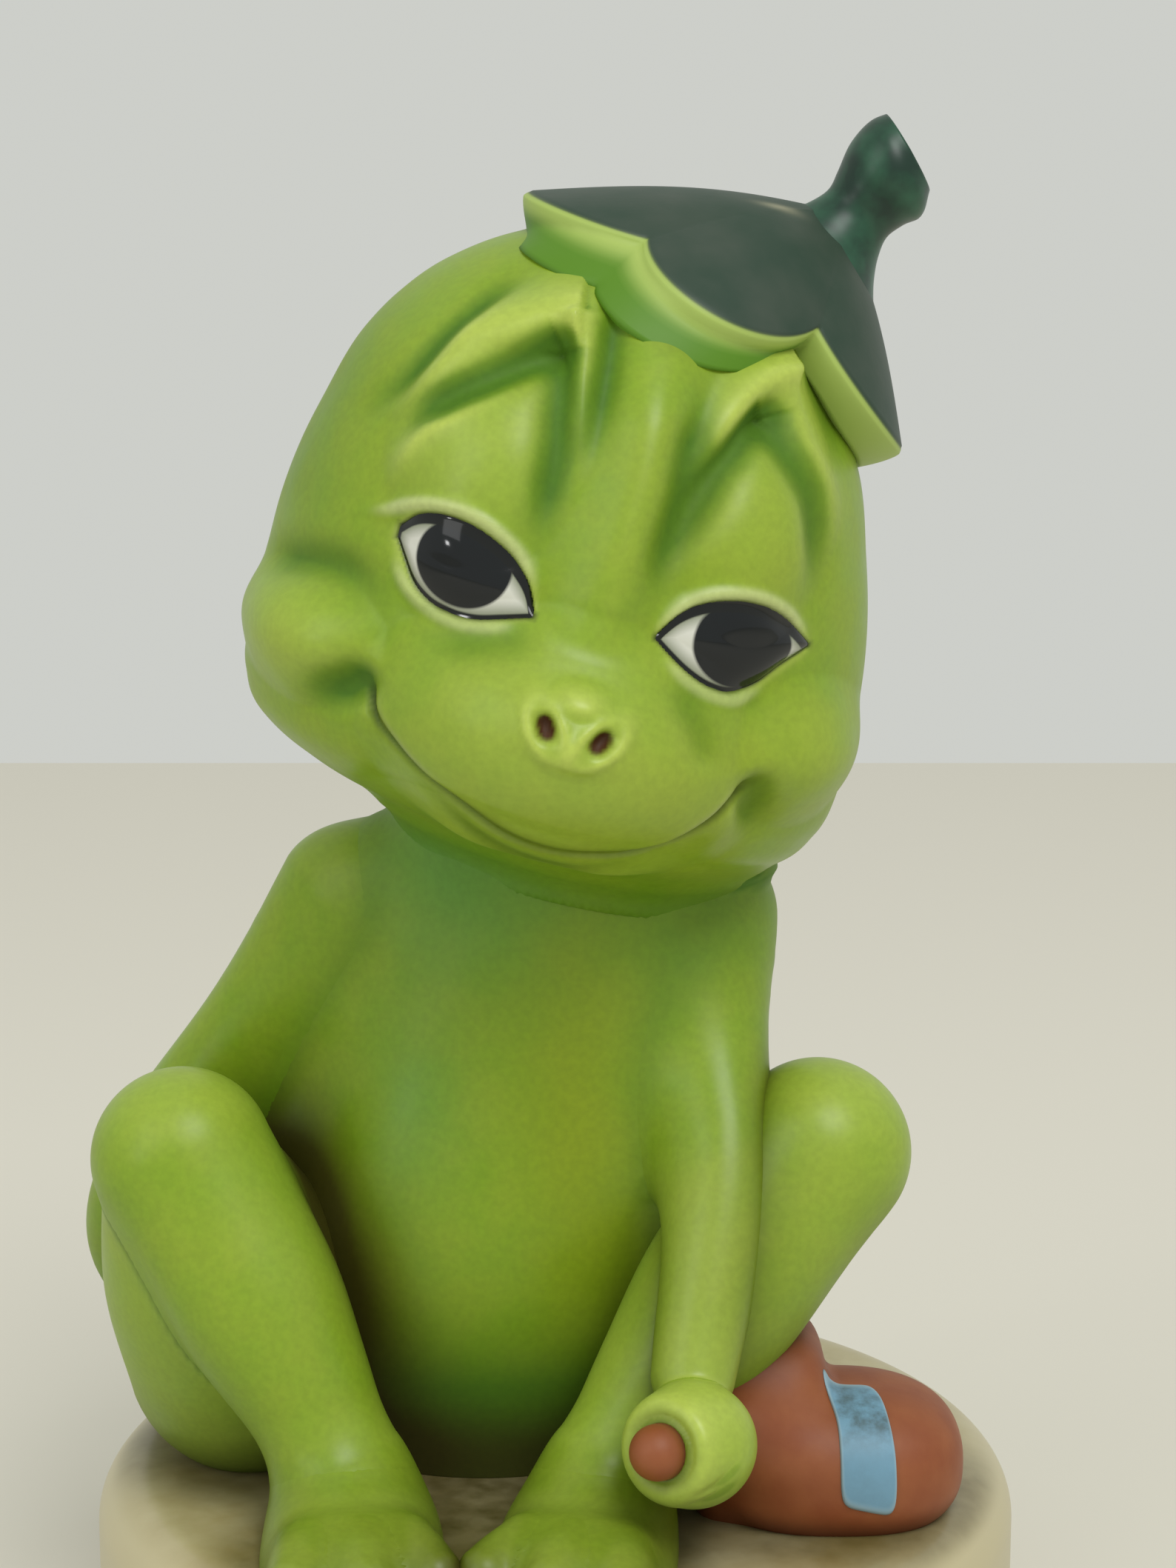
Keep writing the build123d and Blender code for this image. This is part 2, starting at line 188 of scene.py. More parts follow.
# eases a form out to its neighbours: every point moves along its normal to where the rounded union is zero,
# and beyond the middle of the fillet, or further on by the lead, it dives under the neighbour's skin
def settle(points, own, near, lead=0.0):
    normals = outwards(points)
    lift = np.zeros(points.shape[:-1])
    widest = max(width for other, width in near)
    for step in range(joins["rounds"]):
        p = points + lift[..., None] * normals
        distance = lift if own is None else own(p)
        for other, width in near:
            distance = roundedMin(distance, other(p), width)
        lift = np.clip(lift - joins["share"] * distance, 0, joins["highest"] * widest)
    p = points + lift[..., None] * normals
    nearest = np.minimum.reduce([other(p) for other, width in near])
    beyond = (lift if own is None else own(p)) - nearest - lead
    dive = joins["steepness"] * np.clip(beyond, 0, joins["reach"])
    return p - dive[..., None] * normals, lift / (joins["middle"] * widest)


# how far each point of a grid lies below (+) or above (-) the average of its neighbourhood
def hollow(points, spread):
    smooth = points
    for step in range(spread):
        padded = np.concatenate([smooth[:1], smooth, smooth[-1:]])
        smooth = 0.25 * padded[:-2] + 0.5 * smooth + 0.25 * padded[2:]
        smooth = 0.25 * np.roll(smooth, 1, 1) + 0.5 * smooth + 0.25 * np.roll(smooth, -1, 1)
    return np.sum((smooth - points) * outwards(points), -1)


# a closed mesh from one or more grids of rings; each grid's first and last ring close on a point
def ringMesh(name, sheets, material, node):
    spots, loops, totals, marks, count = [], [], [], {}, 0
    for sheet in sheets:
        points = sheet["points"]
        rings, around = points.shape[:2]
        index = count + np.arange(rings * around).reshape(rings, around)
        nextOver = np.roll(index, -1, 1)
        quads = np.stack([index[:-1], nextOver[:-1], nextOver[1:], index[1:]], -1).reshape(-1, 4)
        first, last = count + rings * around, count + rings * around + 1
        fans = np.concatenate([
            np.stack([np.full(around, first), nextOver[0], index[0]], -1),
            np.stack([np.full(around, last), index[-1], nextOver[-1]], -1)])
        flat = np.concatenate([points.reshape(-1, 3), points[:1].mean(1), points[-1:].mean(1)])
        a, b, c = (flat[quads[:, k] - count] for k in (0, 1, 2))
        d = flat[quads[:, 3] - count]
        if np.sum(np.cross(a, b) * c + np.cross(a, c) * d) < 0:  # turned inside out
            quads, fans = quads[:, ::-1], fans[:, ::-1]
        spots.append(flat)
        loops += [quads.ravel(), fans.ravel()]
        totals += [np.full(len(quads), 4), np.full(len(fans), 3)]
        for mark, given in sheet.get("marks", {}).items():
            marks.setdefault(mark, []).append(np.concatenate([given.ravel(), [given[0].mean(), given[-1].mean()]]))
        count += len(flat)
    spots, loops, totals = np.concatenate(spots) / 1000, np.concatenate(loops), np.concatenate(totals)
    mesh = bpy.data.meshes.new(name)
    mesh.vertices.add(count)
    mesh.vertices.foreach_set("co", spots.astype(np.float32).ravel())
    mesh.loops.add(len(loops))
    mesh.loops.foreach_set("vertex_index", loops.astype(np.int32))
    mesh.polygons.add(len(totals))
    mesh.polygons.foreach_set("loop_start", (np.cumsum(totals) - totals).astype(np.int32))
    mesh.polygons.foreach_set("loop_total", totals.astype(np.int32))
    mesh.polygons.foreach_set("use_smooth", np.ones(len(totals), bool))
    for mark, values in marks.items():
        attribute = mesh.attributes.new(mark, "FLOAT", "POINT")
        attribute.data.foreach_set("value", np.concatenate(values).astype(np.float32))
    mesh.update(calc_edges=True)
    mesh.materials.append(material)
    piece = bpy.data.objects.new(name, mesh)
    bpy.context.scene.collection.objects.link(piece)
    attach(piece, "root")
    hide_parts(node)
    return piece


def linear(hexColour):  # sRGB hex to linear light
    parts = [int(hexColour[k:k + 2], 16) / 255 for k in (1, 3, 5)]
    return [p / 12.92 if p <= 0.04045 else ((p + 0.055) / 1.055) ** 2.4 for p in parts] + [1.0]


# adds a node, sets what is given and links sockets that are given as (node, output); a socket goes by its name,
# or by i and its number
def put(tree, kind, settings=None, **sockets):
    made = tree.nodes.new(kind)
    for key, value in (settings or {}).items():
        setattr(made, key, value)
    for key, value in sockets.items():
        socket = made.inputs[int(key[1:]) if key[1:].isdigit() else key.replace("_", " ")]
        if isinstance(value, tuple) and hasattr(value[0], "outputs"):
            tree.links.new(value[0].outputs[value[1]], socket)
        else:
            socket.default_value = value
    return made


def newMaterial(name):
    material = bpy.data.materials.new(name)
    material.use_nodes = True
    material.node_tree.nodes.clear()
    return material, material.node_tree


mixColour = {"data_type": "RGBA"}  # sockets: 0 factor, 6 and 7 the colours, output 2

# Bisque porcelain, airbrushed in greens to a satin finish: soft tone changes, a few broad highlights; the deep and
# crease marks also carry painted shade and the pale mark painted highlights.
skinPaint = {
    "body": "#789916", "mottle": "#829C1E", "deep": "#48720C", "warm": "#849604", "cool": "#44863E",
    "pale": "#AEC052", "crease": "#444212", "cream": "#BFC98C", "brown": "#4A2A12", "line": "#12160C",
    "mottleSize": 6.0, "grainSize": 0.7, "roughness": 0.37, "grainHeight": 0.02}
skinMarks = ("deep", "warm", "cool", "pale", "crease", "cream", "brown", "line")  # painted one over the other


def skinMaterial():
    material, tree = newMaterial("airbrushed bisque porcelain")
    place = put(tree, "ShaderNodeTexCoord")
    mottle = put(tree, "ShaderNodeTexNoise", Vector=(place, "Object"), Detail=3.0,
                 Scale=1000 / skinPaint["mottleSize"])
    grain = put(tree, "ShaderNodeTexNoise", Vector=(place, "Object"), Detail=2.0,
                Scale=1000 / skinPaint["grainSize"])
    tint = put(tree, "ShaderNodeMapRange", i0=(mottle, 0), i1=0.35, i2=0.65, i3=0.0, i4=1.0)
    colour = put(tree, "ShaderNodeMix", mixColour, i0=(tint, 0), i6=linear(skinPaint["body"]),
                 i7=linear(skinPaint["mottle"]))
    for mark in skinMarks:
        mask = put(tree, "ShaderNodeAttribute", {"attribute_name": mark})
        colour = put(tree, "ShaderNodeMix", mixColour, i0=(mask, 2), i6=(colour, 2), i7=linear(skinPaint[mark]))
    fleck = put(tree, "ShaderNodeMapRange", i0=(grain, 0), i1=0.3, i2=0.7, i3=0.94, i4=1.05)
    flecked = put(tree, "ShaderNodeMix", {**mixColour, "blend_type": "MULTIPLY"}, i0=1.0, i6=(colour, 2),
                  i7=(fleck, 0))
    bump = put(tree, "ShaderNodeBump", Strength=0.25, Distance=skinPaint["grainHeight"] / 1000, Height=(grain, 0))
    sheen = put(tree, "ShaderNodeMapRange", i0=(mottle, 0), i1=0.3, i2=0.7, i3=skinPaint["roughness"] - 0.05,
                i4=skinPaint["roughness"] + 0.07)
    folds = put(tree, "ShaderNodeAttribute", {"attribute_name": "deep"})
    dull = put(tree, "ShaderNodeMath", {"operation": "MULTIPLY_ADD"}, i0=(folds, 2), i1=0.3, i2=(sheen, 0))
    shader = put(tree, "ShaderNodeBsdfPrincipled", Base_Color=(flecked, 2), Roughness=(dull, 0), IOR=1.42,
                 Normal=(bump, 0))
    put(tree, "ShaderNodeOutputMaterial", Surface=(shader, 0))
    return material


# Painted pupil and white under a glossy glaze: black with a small bright reflection; the white greys towards the lids
# as a painted shadow.
eyePaint = {"pupil": "#0C1114", "white": "#D2D2C8", "shade": "#8B907C", "line": "#0E1110", "roughness": 0.1}


def eyeMaterial():
    material, tree = newMaterial("painted eye under gloss glaze")
    fromIris = put(tree, "ShaderNodeAttribute", {"attribute_name": "fromIris"})
    fromLid = put(tree, "ShaderNodeAttribute", {"attribute_name": "fromLid"})
    # the white darkens near the lids: painted shadow of the lids
    lidShadow = put(tree, "ShaderNodeMapRange", i0=(fromLid, 2), i1=0.3, i2=1.5, i3=1.0, i4=0.0)
    white = put(tree, "ShaderNodeMix", mixColour, i0=(lidShadow, 0), i6=linear(eyePaint["white"]),
                i7=linear(eyePaint["shade"]))
    inIris = put(tree, "ShaderNodeMapRange", i0=(fromIris, 2), i1=0.97, i2=1.03, i3=1.0, i4=0.0)
    iris = put(tree, "ShaderNodeMix", mixColour, i0=(inIris, 0), i6=(white, 2), i7=linear(eyePaint["pupil"]))
    onLine = put(tree, "ShaderNodeMapRange", i0=(fromLid, 2), i1=0.18, i2=0.34, i3=1.0, i4=0.0)
    lined = put(tree, "ShaderNodeMix", mixColour, i0=(onLine, 0), i6=(iris, 2), i7=linear(eyePaint["line"]))
    shader = put(tree, "ShaderNodeBsdfPrincipled", Base_Color=(lined, 2), Roughness=eyePaint["roughness"], IOR=1.45)
    put(tree, "ShaderNodeOutputMaterial", Surface=(shader, 0))
    return material


# Painted leaf: dark grey green on top, light green on its turned-down edge, satin and a little worn.
leafPaint = {"top": "#243C2D", "topLight": "#38463A", "edge": "#A2B85C", "edgeDeep": "#52800E", "wear": "#A3A083",
             "cloudSize": 7.0, "grainSize": 0.8333, "grainHeight": 0.04, "roughness": 0.5}


def leafMaterial():
    material, tree = newMaterial("painted bisque leaf")
    place = put(tree, "ShaderNodeTexCoord")
    cloud = put(tree, "ShaderNodeTexNoise", Vector=(place, "Object"), Detail=4.0,
                Scale=1000 / leafPaint["cloudSize"])
    grain = put(tree, "ShaderNodeTexNoise", Vector=(place, "Object"), Detail=2.0,
                Scale=1000 / leafPaint["grainSize"])
    tone = put(tree, "ShaderNodeMapRange", i0=(cloud, 0), i1=0.35, i2=0.7, i3=0.0, i4=1.0)
    top = put(tree, "ShaderNodeMix", mixColour, i0=(tone, 0), i6=linear(leafPaint["top"]),
              i7=linear(leafPaint["topLight"]))
    worn = put(tree, "ShaderNodeAttribute", {"attribute_name": "wear"})
    top = put(tree, "ShaderNodeMix", mixColour, i0=(worn, 2), i6=(top, 2), i7=linear(leafPaint["wear"]))
    low = put(tree, "ShaderNodeAttribute", {"attribute_name": "low"})
    side = put(tree, "ShaderNodeMix", mixColour, i0=(low, 2), i6=linear(leafPaint["edge"]),
               i7=linear(leafPaint["edgeDeep"]))
    rim = put(tree, "ShaderNodeAttribute", {"attribute_name": "rim"})
    colour = put(tree, "ShaderNodeMix", mixColour, i0=(rim, 2), i6=(top, 2), i7=(side, 2))
    bump = put(tree, "ShaderNodeBump", Strength=0.3, Distance=leafPaint["grainHeight"] / 1000, Height=(grain, 0))
    shader = put(tree, "ShaderNodeBsdfPrincipled", Base_Color=(colour, 2), Roughness=leafPaint["roughness"], IOR=1.42,
                 Normal=(bump, 0))
    put(tree, "ShaderNodeOutputMaterial", Surface=(shader, 0))
    return material


# Stalk under a soft gloss glaze: deep blue green that thins out paler in clouds.
stalkPaint = {"deep": "#123024", "thin": "#28573F", "cloudSize": 4.0, "roughness": 0.36}


def stalkMaterial():
    material, tree = newMaterial("gloss glazed stalk")
    place = put(tree, "ShaderNodeTexCoord")
    cloud = put(tree, "ShaderNodeTexNoise", Vector=(place, "Object"), Detail=3.0,
                Scale=1000 / stalkPaint["cloudSize"])
    tone = put(tree, "ShaderNodeMapRange", i0=(cloud, 0), i1=0.4, i2=0.72, i3=0.0, i4=1.0)
    colour = put(tree, "ShaderNodeMix", mixColour, i0=(tone, 0), i6=linear(stalkPaint["deep"]),
                 i7=linear(stalkPaint["thin"]))
    shader = put(tree, "ShaderNodeBsdfPrincipled", Base_Color=(colour, 2), Roughness=stalkPaint["roughness"],
                 IOR=1.45)
    put(tree, "ShaderNodeOutputMaterial", Surface=(shader, 0))
    return material


# Matte painted bisque: red brown sack, dry and a little cloudy, with painted shade in its folds, towards the base and
# where it touches the limbs.
sackPaint = {"cloth": "#864520", "light": "#92522A", "fold": "#552812", "cloudSize": 5.0, "grainSize": 0.6667,
             "grainHeight": 0.05, "roughness": 0.55}


def sackMaterial():
    material, tree = newMaterial("matte painted bisque sack")
    place = put(tree, "ShaderNodeTexCoord")
    cloud = put(tree, "ShaderNodeTexNoise", Vector=(place, "Object"), Detail=4.0,
                Scale=1000 / sackPaint["cloudSize"])
    grain = put(tree, "ShaderNodeTexNoise", Vector=(place, "Object"), Detail=2.0,
                Scale=1000 / sackPaint["grainSize"])
    tone = put(tree, "ShaderNodeMapRange", i0=(cloud, 0), i1=0.38, i2=0.66, i3=0.0, i4=1.0)
    colour = put(tree, "ShaderNodeMix", mixColour, i0=(tone, 0), i6=linear(sackPaint["cloth"]),
                 i7=linear(sackPaint["light"]))
    # the fold colour is painted shade, laid by the crease mask
    fold = put(tree, "ShaderNodeAttribute", {"attribute_name": "crease"})
    colour = put(tree, "ShaderNodeMix", mixColour, i0=(fold, 2), i6=(colour, 2), i7=linear(sackPaint["fold"]))
    bump = put(tree, "ShaderNodeBump", Strength=0.35, Distance=sackPaint["grainHeight"] / 1000, Height=(grain, 0))
    shader = put(tree, "ShaderNodeBsdfPrincipled", Base_Color=(colour, 2), Roughness=sackPaint["roughness"], IOR=1.5,
                 Normal=(bump, 0))
    put(tree, "ShaderNodeOutputMaterial", Surface=(shader, 0))
    return material


# Patch in matte light blue, rubbed by hand: dark grey mottling in its upper half, a pale edge.
patchPaint = {"blue": "#6C96AE", "rubbed": "#46585A", "edge": "#8FABB8", "rubSize": 2.4, "roughness": 0.5}


def patchMaterial():
    material, tree = newMaterial("matte painted bisque patch")
    place = put(tree, "ShaderNodeTexCoord")
    cloud = put(tree, "ShaderNodeTexNoise", Vector=(place, "Object"), Detail=5.0, Roughness=0.65,
                Scale=1000 / patchPaint["rubSize"])
    tone = put(tree, "ShaderNodeMapRange", i0=(cloud, 0), i1=0.42, i2=0.66, i3=0.0, i4=0.8)
    rub = put(tree, "ShaderNodeAttribute", {"attribute_name": "rub"})
    dirt = put(tree, "ShaderNodeMath", {"operation": "MULTIPLY"}, i0=(tone, 0), i1=(rub, 2))
    colour = put(tree, "ShaderNodeMix", mixColour, i0=(dirt, 0), i6=linear(patchPaint["blue"]),
                 i7=linear(patchPaint["rubbed"]))
    edge = put(tree, "ShaderNodeAttribute", {"attribute_name": "edge"})
    colour = put(tree, "ShaderNodeMix", mixColour, i0=(edge, 2), i6=(colour, 2), i7=linear(patchPaint["edge"]))
    shader = put(tree, "ShaderNodeBsdfPrincipled", Base_Color=(colour, 2), Roughness=patchPaint["roughness"], IOR=1.5)
    put(tree, "ShaderNodeOutputMaterial", Surface=(shader, 0))
    return material


# Cream bisque drum with a thin tan wash that lies in clouds on its top and wears off the rim; a painted shadow, partly
# real staining, darkens its top round and under the frog, broken up by streaks.
basePaint = {"cream": "#BEB48E", "wash": "#978654", "shadowAndStain": "#4C441C", "cloudSize": 16.0, "streakSize": 3.0,
             "streakHeight": 0.06, "roughness": 0.35}


def baseMaterial():
    material, tree = newMaterial("cream bisque with a tan wash")
    place = put(tree, "ShaderNodeTexCoord")
    cloud = put(tree, "ShaderNodeTexNoise", Vector=(place, "Object"), Detail=5.0, Roughness=0.6,
                Scale=1000 / basePaint["cloudSize"])
    streak = put(tree, "ShaderNodeTexNoise", Vector=(place, "Object"), Detail=4.0,
                 Scale=1000 / basePaint["streakSize"])
    wash = put(tree, "ShaderNodeAttribute", {"attribute_name": "wash"})
    lie = put(tree, "ShaderNodeMapRange", i0=(cloud, 0), i1=0.36, i2=0.66, i3=0.15, i4=1.0)
    amount = put(tree, "ShaderNodeMath", {"operation": "MULTIPLY"}, i0=(wash, 2), i1=(lie, 0))
    colour = put(tree, "ShaderNodeMix", mixColour, i0=(amount, 0), i6=linear(basePaint["cream"]),
                 i7=linear(basePaint["wash"]))
    # painted shadow round and under the frog, partly real staining, in streaks
    shade = put(tree, "ShaderNodeAttribute", {"attribute_name": "crease"})
    spots = put(tree, "ShaderNodeMapRange", i0=(streak, 0), i1=0.4, i2=0.7, i3=0.75, i4=1.0)
    shadowAndStainAmount = put(tree, "ShaderNodeMath", {"operation": "MULTIPLY"}, i0=(shade, 2), i1=(spots, 0))
    colour = put(tree, "ShaderNodeMix", mixColour, i0=(shadowAndStainAmount, 0), i6=(colour, 2), i7=linear(basePaint["shadowAndStain"]))
    bump = put(tree, "ShaderNodeBump", Strength=0.25, Distance=basePaint["streakHeight"] / 1000, Height=(streak, 0))
    shader = put(tree, "ShaderNodeBsdfPrincipled", Base_Color=(colour, 2), Roughness=basePaint["roughness"], IOR=1.5,
                 Coat_Weight=0.15, Coat_Roughness=0.2, Normal=(bump, 0))
    put(tree, "ShaderNodeOutputMaterial", Surface=(shader, 0))
    return material


skin, eyeGlaze, leaf = skinMaterial(), eyeMaterial(), leafMaterial()
stalk, sackClay, patchClay, baseClay = stalkMaterial(), sackMaterial(), patchMaterial(), baseMaterial()
print("materials ready")

# Body forms: level, middle across, middle back, half width, half depth
torso = {"levels": [
    (seatLevel - 1, -7.0, 8.5, 18.0, 16.5), (32, -7.0, 8.5, 21.0, 19.2), (47, -6.2, 7.9, 22.5, 20.5),
    (67, -3.0, 6.5, 20.0, 16.5), (80, 0.4, 4.0, 17.0, 13.6), (88, -0.4, 2.4, 13.6, 11.4),
    (97, -1.0, 1.5, 13.0, 10.6)],
    "rise": (seatLevel - 0.8, 96.5)}
legs = {
    "right": {"hip": onBody(-22.8, 9.0, 10.6), "knee": onBody(-28.0, 19.0, 33.0), "ankle": onBody(-12.7, 26.5, 6.0),
              "turn": 10.0},
    "left": {"hip": onBody(15.0, -3.0, 12.2), "knee": onBody(32.0, 16.8, 33.0), "ankle": onBody(12.2, 27.3, 6.4),
             "turn": -16.0},
    "thigh": (12.4, 11.4, 7.8), "shin": (8.5, 8.3, 8.0, 6.6, 5.0)}
arms = {
    "right": {"path": [onBody(-13.5, 3.5, 55.0), onBody(-34.0, 0.5, 24.0), onBody(-32.0, -6.5, 8.0)],
              "radii": (6.7, 5.1, 5.5, 5.4, 4.8, 4.2)},
    "left": {"path": [onBody(20.0, 6.0, 53.0), onBody(22.7, 21.0, 33.5), onBody(19.8, 31.0, 16.0)],
             "radii": (6.8, 5.4, 5.0, 4.9, 4.5, 3.9)}}
feet = {"heelHeight": 3.8, "toeLength": 19.5, "toeRadii": ((2.4, 2.6, 2.4), (2.6, 2.8, 2.5), (2.4, 2.6, 2.4)),
        "spread": 19.0, "toeStart": 0.7, "instepAhead": 8.0, "instep": np.array([8.4, 13.0, 5.7])}
palm = {"middle": onBody(-29.5, -10.0, 2.5), "radii": np.array([5.5, 6.5, 3.75])}
# the fist's lines are across and up from its middle, on the side that faces forwards; the curled finger and the
# groove inside it are radius about the sack's neck, width and height
fist = {"middle": onBody(19.6, 36.9, 11.8), "radii": np.array([5.8, 5.8, 5.7]), "lineWidth": 0.45, "lineDepth": 0.25,
        "fingers": ([(-0.8, -2.6), (2.1, -1.5), (4.6, 0.3)], [(-1.5, -3.8), (1.6, -3.0), (4.2, -1.6)]),
        "curl": (4.0, 1.0, 0.7), "groove": (2.6, 0.6, 0.6), "front": (1.0, -0.5, 1.5), "ahead": (1.0, 1.0, 3.0),
        "lineShade": 0.05, "grooveShade": 0.6, "curlPale": 0.3}
toes = (-1, 0, 1)  # each foot's three, counted from the middle one

forms = {"torso": lambda p: stackDistance(torso, p)}
limbs = {}
for side in ("right", "left"):
    leg, arm = legs[side], arms[side]
    limbs[side + "Thigh"] = {"path": [leg["hip"], leg["knee"]], "radii": legs["thigh"]}
    limbs[side + "Shin"] = {"path": [leg["knee"], leg["ankle"]], "radii": legs["shin"]}
    limbs[side + "Arm"] = arm
    heel = np.array([leg["ankle"][0], leg["ankle"][1], seatLevel + feet["heelHeight"]])
    for toe, radii in zip(toes, feet["toeRadii"]):
        turn = math.radians(leg["turn"] + toe * feet["spread"])
        tip = heel + feet["toeLength"] * np.array([math.sin(turn), -math.cos(turn), 0])
        tip[2] = seatLevel + radii[-1]
        limbs[f"{side}Toe{toe}"] = {"path": [heel + feet["toeStart"] * (tip - heel), tip], "radii": radii}
    turn = math.radians(leg["turn"])
    ahead = heel + feet["instepAhead"] * np.array([math.sin(turn), -math.cos(turn), 0])
    leg["instep"] = {"middle": np.array([ahead[0], ahead[1], seatLevel]), "radii": feet["instep"]}
    forms[side + "Instep"] = lambda p, instep=leg["instep"]: ballDistance(instep, p)
for name, limb in limbs.items():
    forms[name] = lambda p, limb=limb: limbDistance(limb, p)
forms["palm"] = lambda p: ballDistance(palm, p)
forms["fist"] = lambda p: ballDistance(fist, p)


# axes of a frame that is rolled to its left about the way the frog faces
def rolledAxes(degrees):
    roll = math.radians(degrees)
    return np.array([[math.cos(roll), 0, -math.sin(roll)], [0, 1, 0], [math.sin(roll), 0, math.cos(roll)]])


# The head's own frame: across, back and up from the cheeks' level
headMiddle, headAxes = np.array([-0.6, -2.0, 99.8]), rolledAxes(16.5)
# level, middle across, middle back, half width, half depth
skull = {"levels": [
    (-13.2, 0.4, 0, 4.5, 4.5), (-12.7, 0.3, 0, 10.0, 9.5), (-11.6, 0.2, 0, 17.5, 15.5),  # under the jaw
    (-10.0, 0.1, 0, 22.6, 19.6), (-8.2, 0, 0, 25.8, 22.6), (-5.0, 0, 0, 28.0, 25.0),
    (0.0, 0, 0, 28.8, 26.0), (7.0, -0.4, 0, 28.7, 26.2), (12.0, -0.8, 0, 28.3, 26.0),  # cheeks and eyes
    (17.0, -1.2, 0, 27.4, 25.5), (21.0, -1.5, 0, 26.3, 24.6), (28.5, -2.0, 0, 23.7, 22.0),
    (32.0, -2.2, 0, 21.6, 20.0), (36.5, -2.1, 0, 18.0, 16.6), (40.5, -1.7, 0, 13.0, 12.0),  # brow and crown
    (43.5, -1.4, 0, 7.0, 6.6), (44.4, -1.3, 0, 3.0, 3.0)],
    # rings stand closer together towards both ends: share of the rings, level
    "ringLevels": ((0, -13.2), (0.06, -12.5), (0.14, -9.8), (0.9, 38.0), (0.97, 42.8), (1, 44.4))}


def toHead(p):
    return (p - headMiddle) @ headAxes.T


forms["head"] = lambda p: stackDistance(skull, toHead(p))

# How wide each pair of neighbours is blended
neckBlend, ankleBlend, toeBlend = 11.0, 8.0, 3.0
blends = {
    ("torso", "head"): neckBlend, ("torso", "rightArm"): 10.0, ("torso", "leftArm"): 11.0,
    ("torso", "leftThigh"): 4.0, ("rightThigh", "rightShin"): 1.2, ("leftThigh", "leftShin"): 2.5,
    ("leftArm", "fist"): 0.8, ("rightArm", "palm"): 3.0}
# neighbours that grow out of each other, where closeness is no crease
grown = [{"torso", "head", "rightArm", "leftArm"}, {"leftArm", "fist"}, {"rightArm", "palm"}]
for side in ("right", "left"):
    blends[(side + "Shin", side + "Instep")] = ankleBlend
    for toe in toes:
        blends[(side + "Instep", f"{side}Toe{toe}")] = toeBlend
    for toe in toes[:-1]:
        blends[(f"{side}Toe{toe}", f"{side}Toe{toe + 1}")] = toeBlend
    grown.append({side + "Thigh", side + "Shin"})
    grown.append({side + "Shin", side + "Instep", *[f"{side}Toe{toe}" for toe in toes]})
# at the neck the torso's skin lies on top: it dives later than the middle of the fillet and the head's dives earlier
neckLead = {"torso": 1.6, "head": -2.0, "band": (70, 80)}

# Body paint: amount and band, amount and reach, or amount and spot, as the three kinds of shade above; lookingDown,
# inFillet, inKnee, byBase, close, underChin, byArm, neckDeep, neckBrown, byRightLeg and byBody are painted shade,
# lookingUp a painted highlight
bodyPaint = {
    "pale": {"rightThigh": 0.25, "leftThigh": 0.12, "Shin": 0.12, "Instep": 0.12, "Toe": 0.12, "fist": 0.5},
    "lookingDown": (0.55, 0.1, -0.8), "lookingUp": (0.3, 0.15, 0.95), "inFillet": (0.35, 0.2, 0.8),
    "inKnee": (0.3, 0.3, 1.0), "dulledInFillet": (0.6, 0.1, 0.5), "byBase": (0.45, 12, 1), "close": (1.0, 2.6),
    "closeRight": 0.75, "closeLeft": 0.5, "belongs": (1.0, 3.0), "underChin": (0.4, 4.0), "byArm": (0.6, 1.2),
    "neckDeep": (0.3, 66, 82), "neckCool": (0.75, -9, 86, 9, 9), "shoulderCool": (0.35, 14, 70, 6, 14),
    "neckBrown": (0.35, 14, 86, 9, 5), "belly": (0.85, 3.5, 60, 7, 17), "flankCool": (0.3, -13, 62, 5, 9),
    "lowBelly": (0.5, 46, 34), "lap": (0.6, 40, 30), "seat": (0.4, 34, 27), "byRightLeg": (0.9, 6.0),
    "byBody": (0.9, 5.0), "byBodyUp": (1.0, 30, 36), "forearm": (0.75, 64, 50), "shinTop": (0.2, 30, 44),
    "shinCool": 0.6}
# rings and points around of each kind of sheet
grids = {"torso": (150, 180), "leg": (110, 110), "toe": (60, 60), "instep": (80, 100), "arm": (150, 110),
         "palm": (60, 96), "fist": (130, 180), "sack": (120, 200), "neck": (80, 80)}


def neighboursOf(name):
    pairs = [(set(pair) - {name}, width) for pair, width in blends.items() if name in pair]
    return [(forms[other.pop()], width) for other, width in pairs]


# paint that runs over the chest, the neck and what grows out of them: darker upwards as painted shade under the head,
# cool on the right, brown painted shade under the jaw's left
def neckPaint(marks, points, belongs):
    across, up = points[..., 0], points[..., 2]
    marks["deep"] += belongs * growing(bodyPaint["neckDeep"], up)
    for shade in ("neckCool", "shoulderCool"):
        marks["cool"] += belongs * spot(bodyPaint[shade], across, up)
    marks["crease"] += belongs * spot(bodyPaint["neckBrown"], across, up)
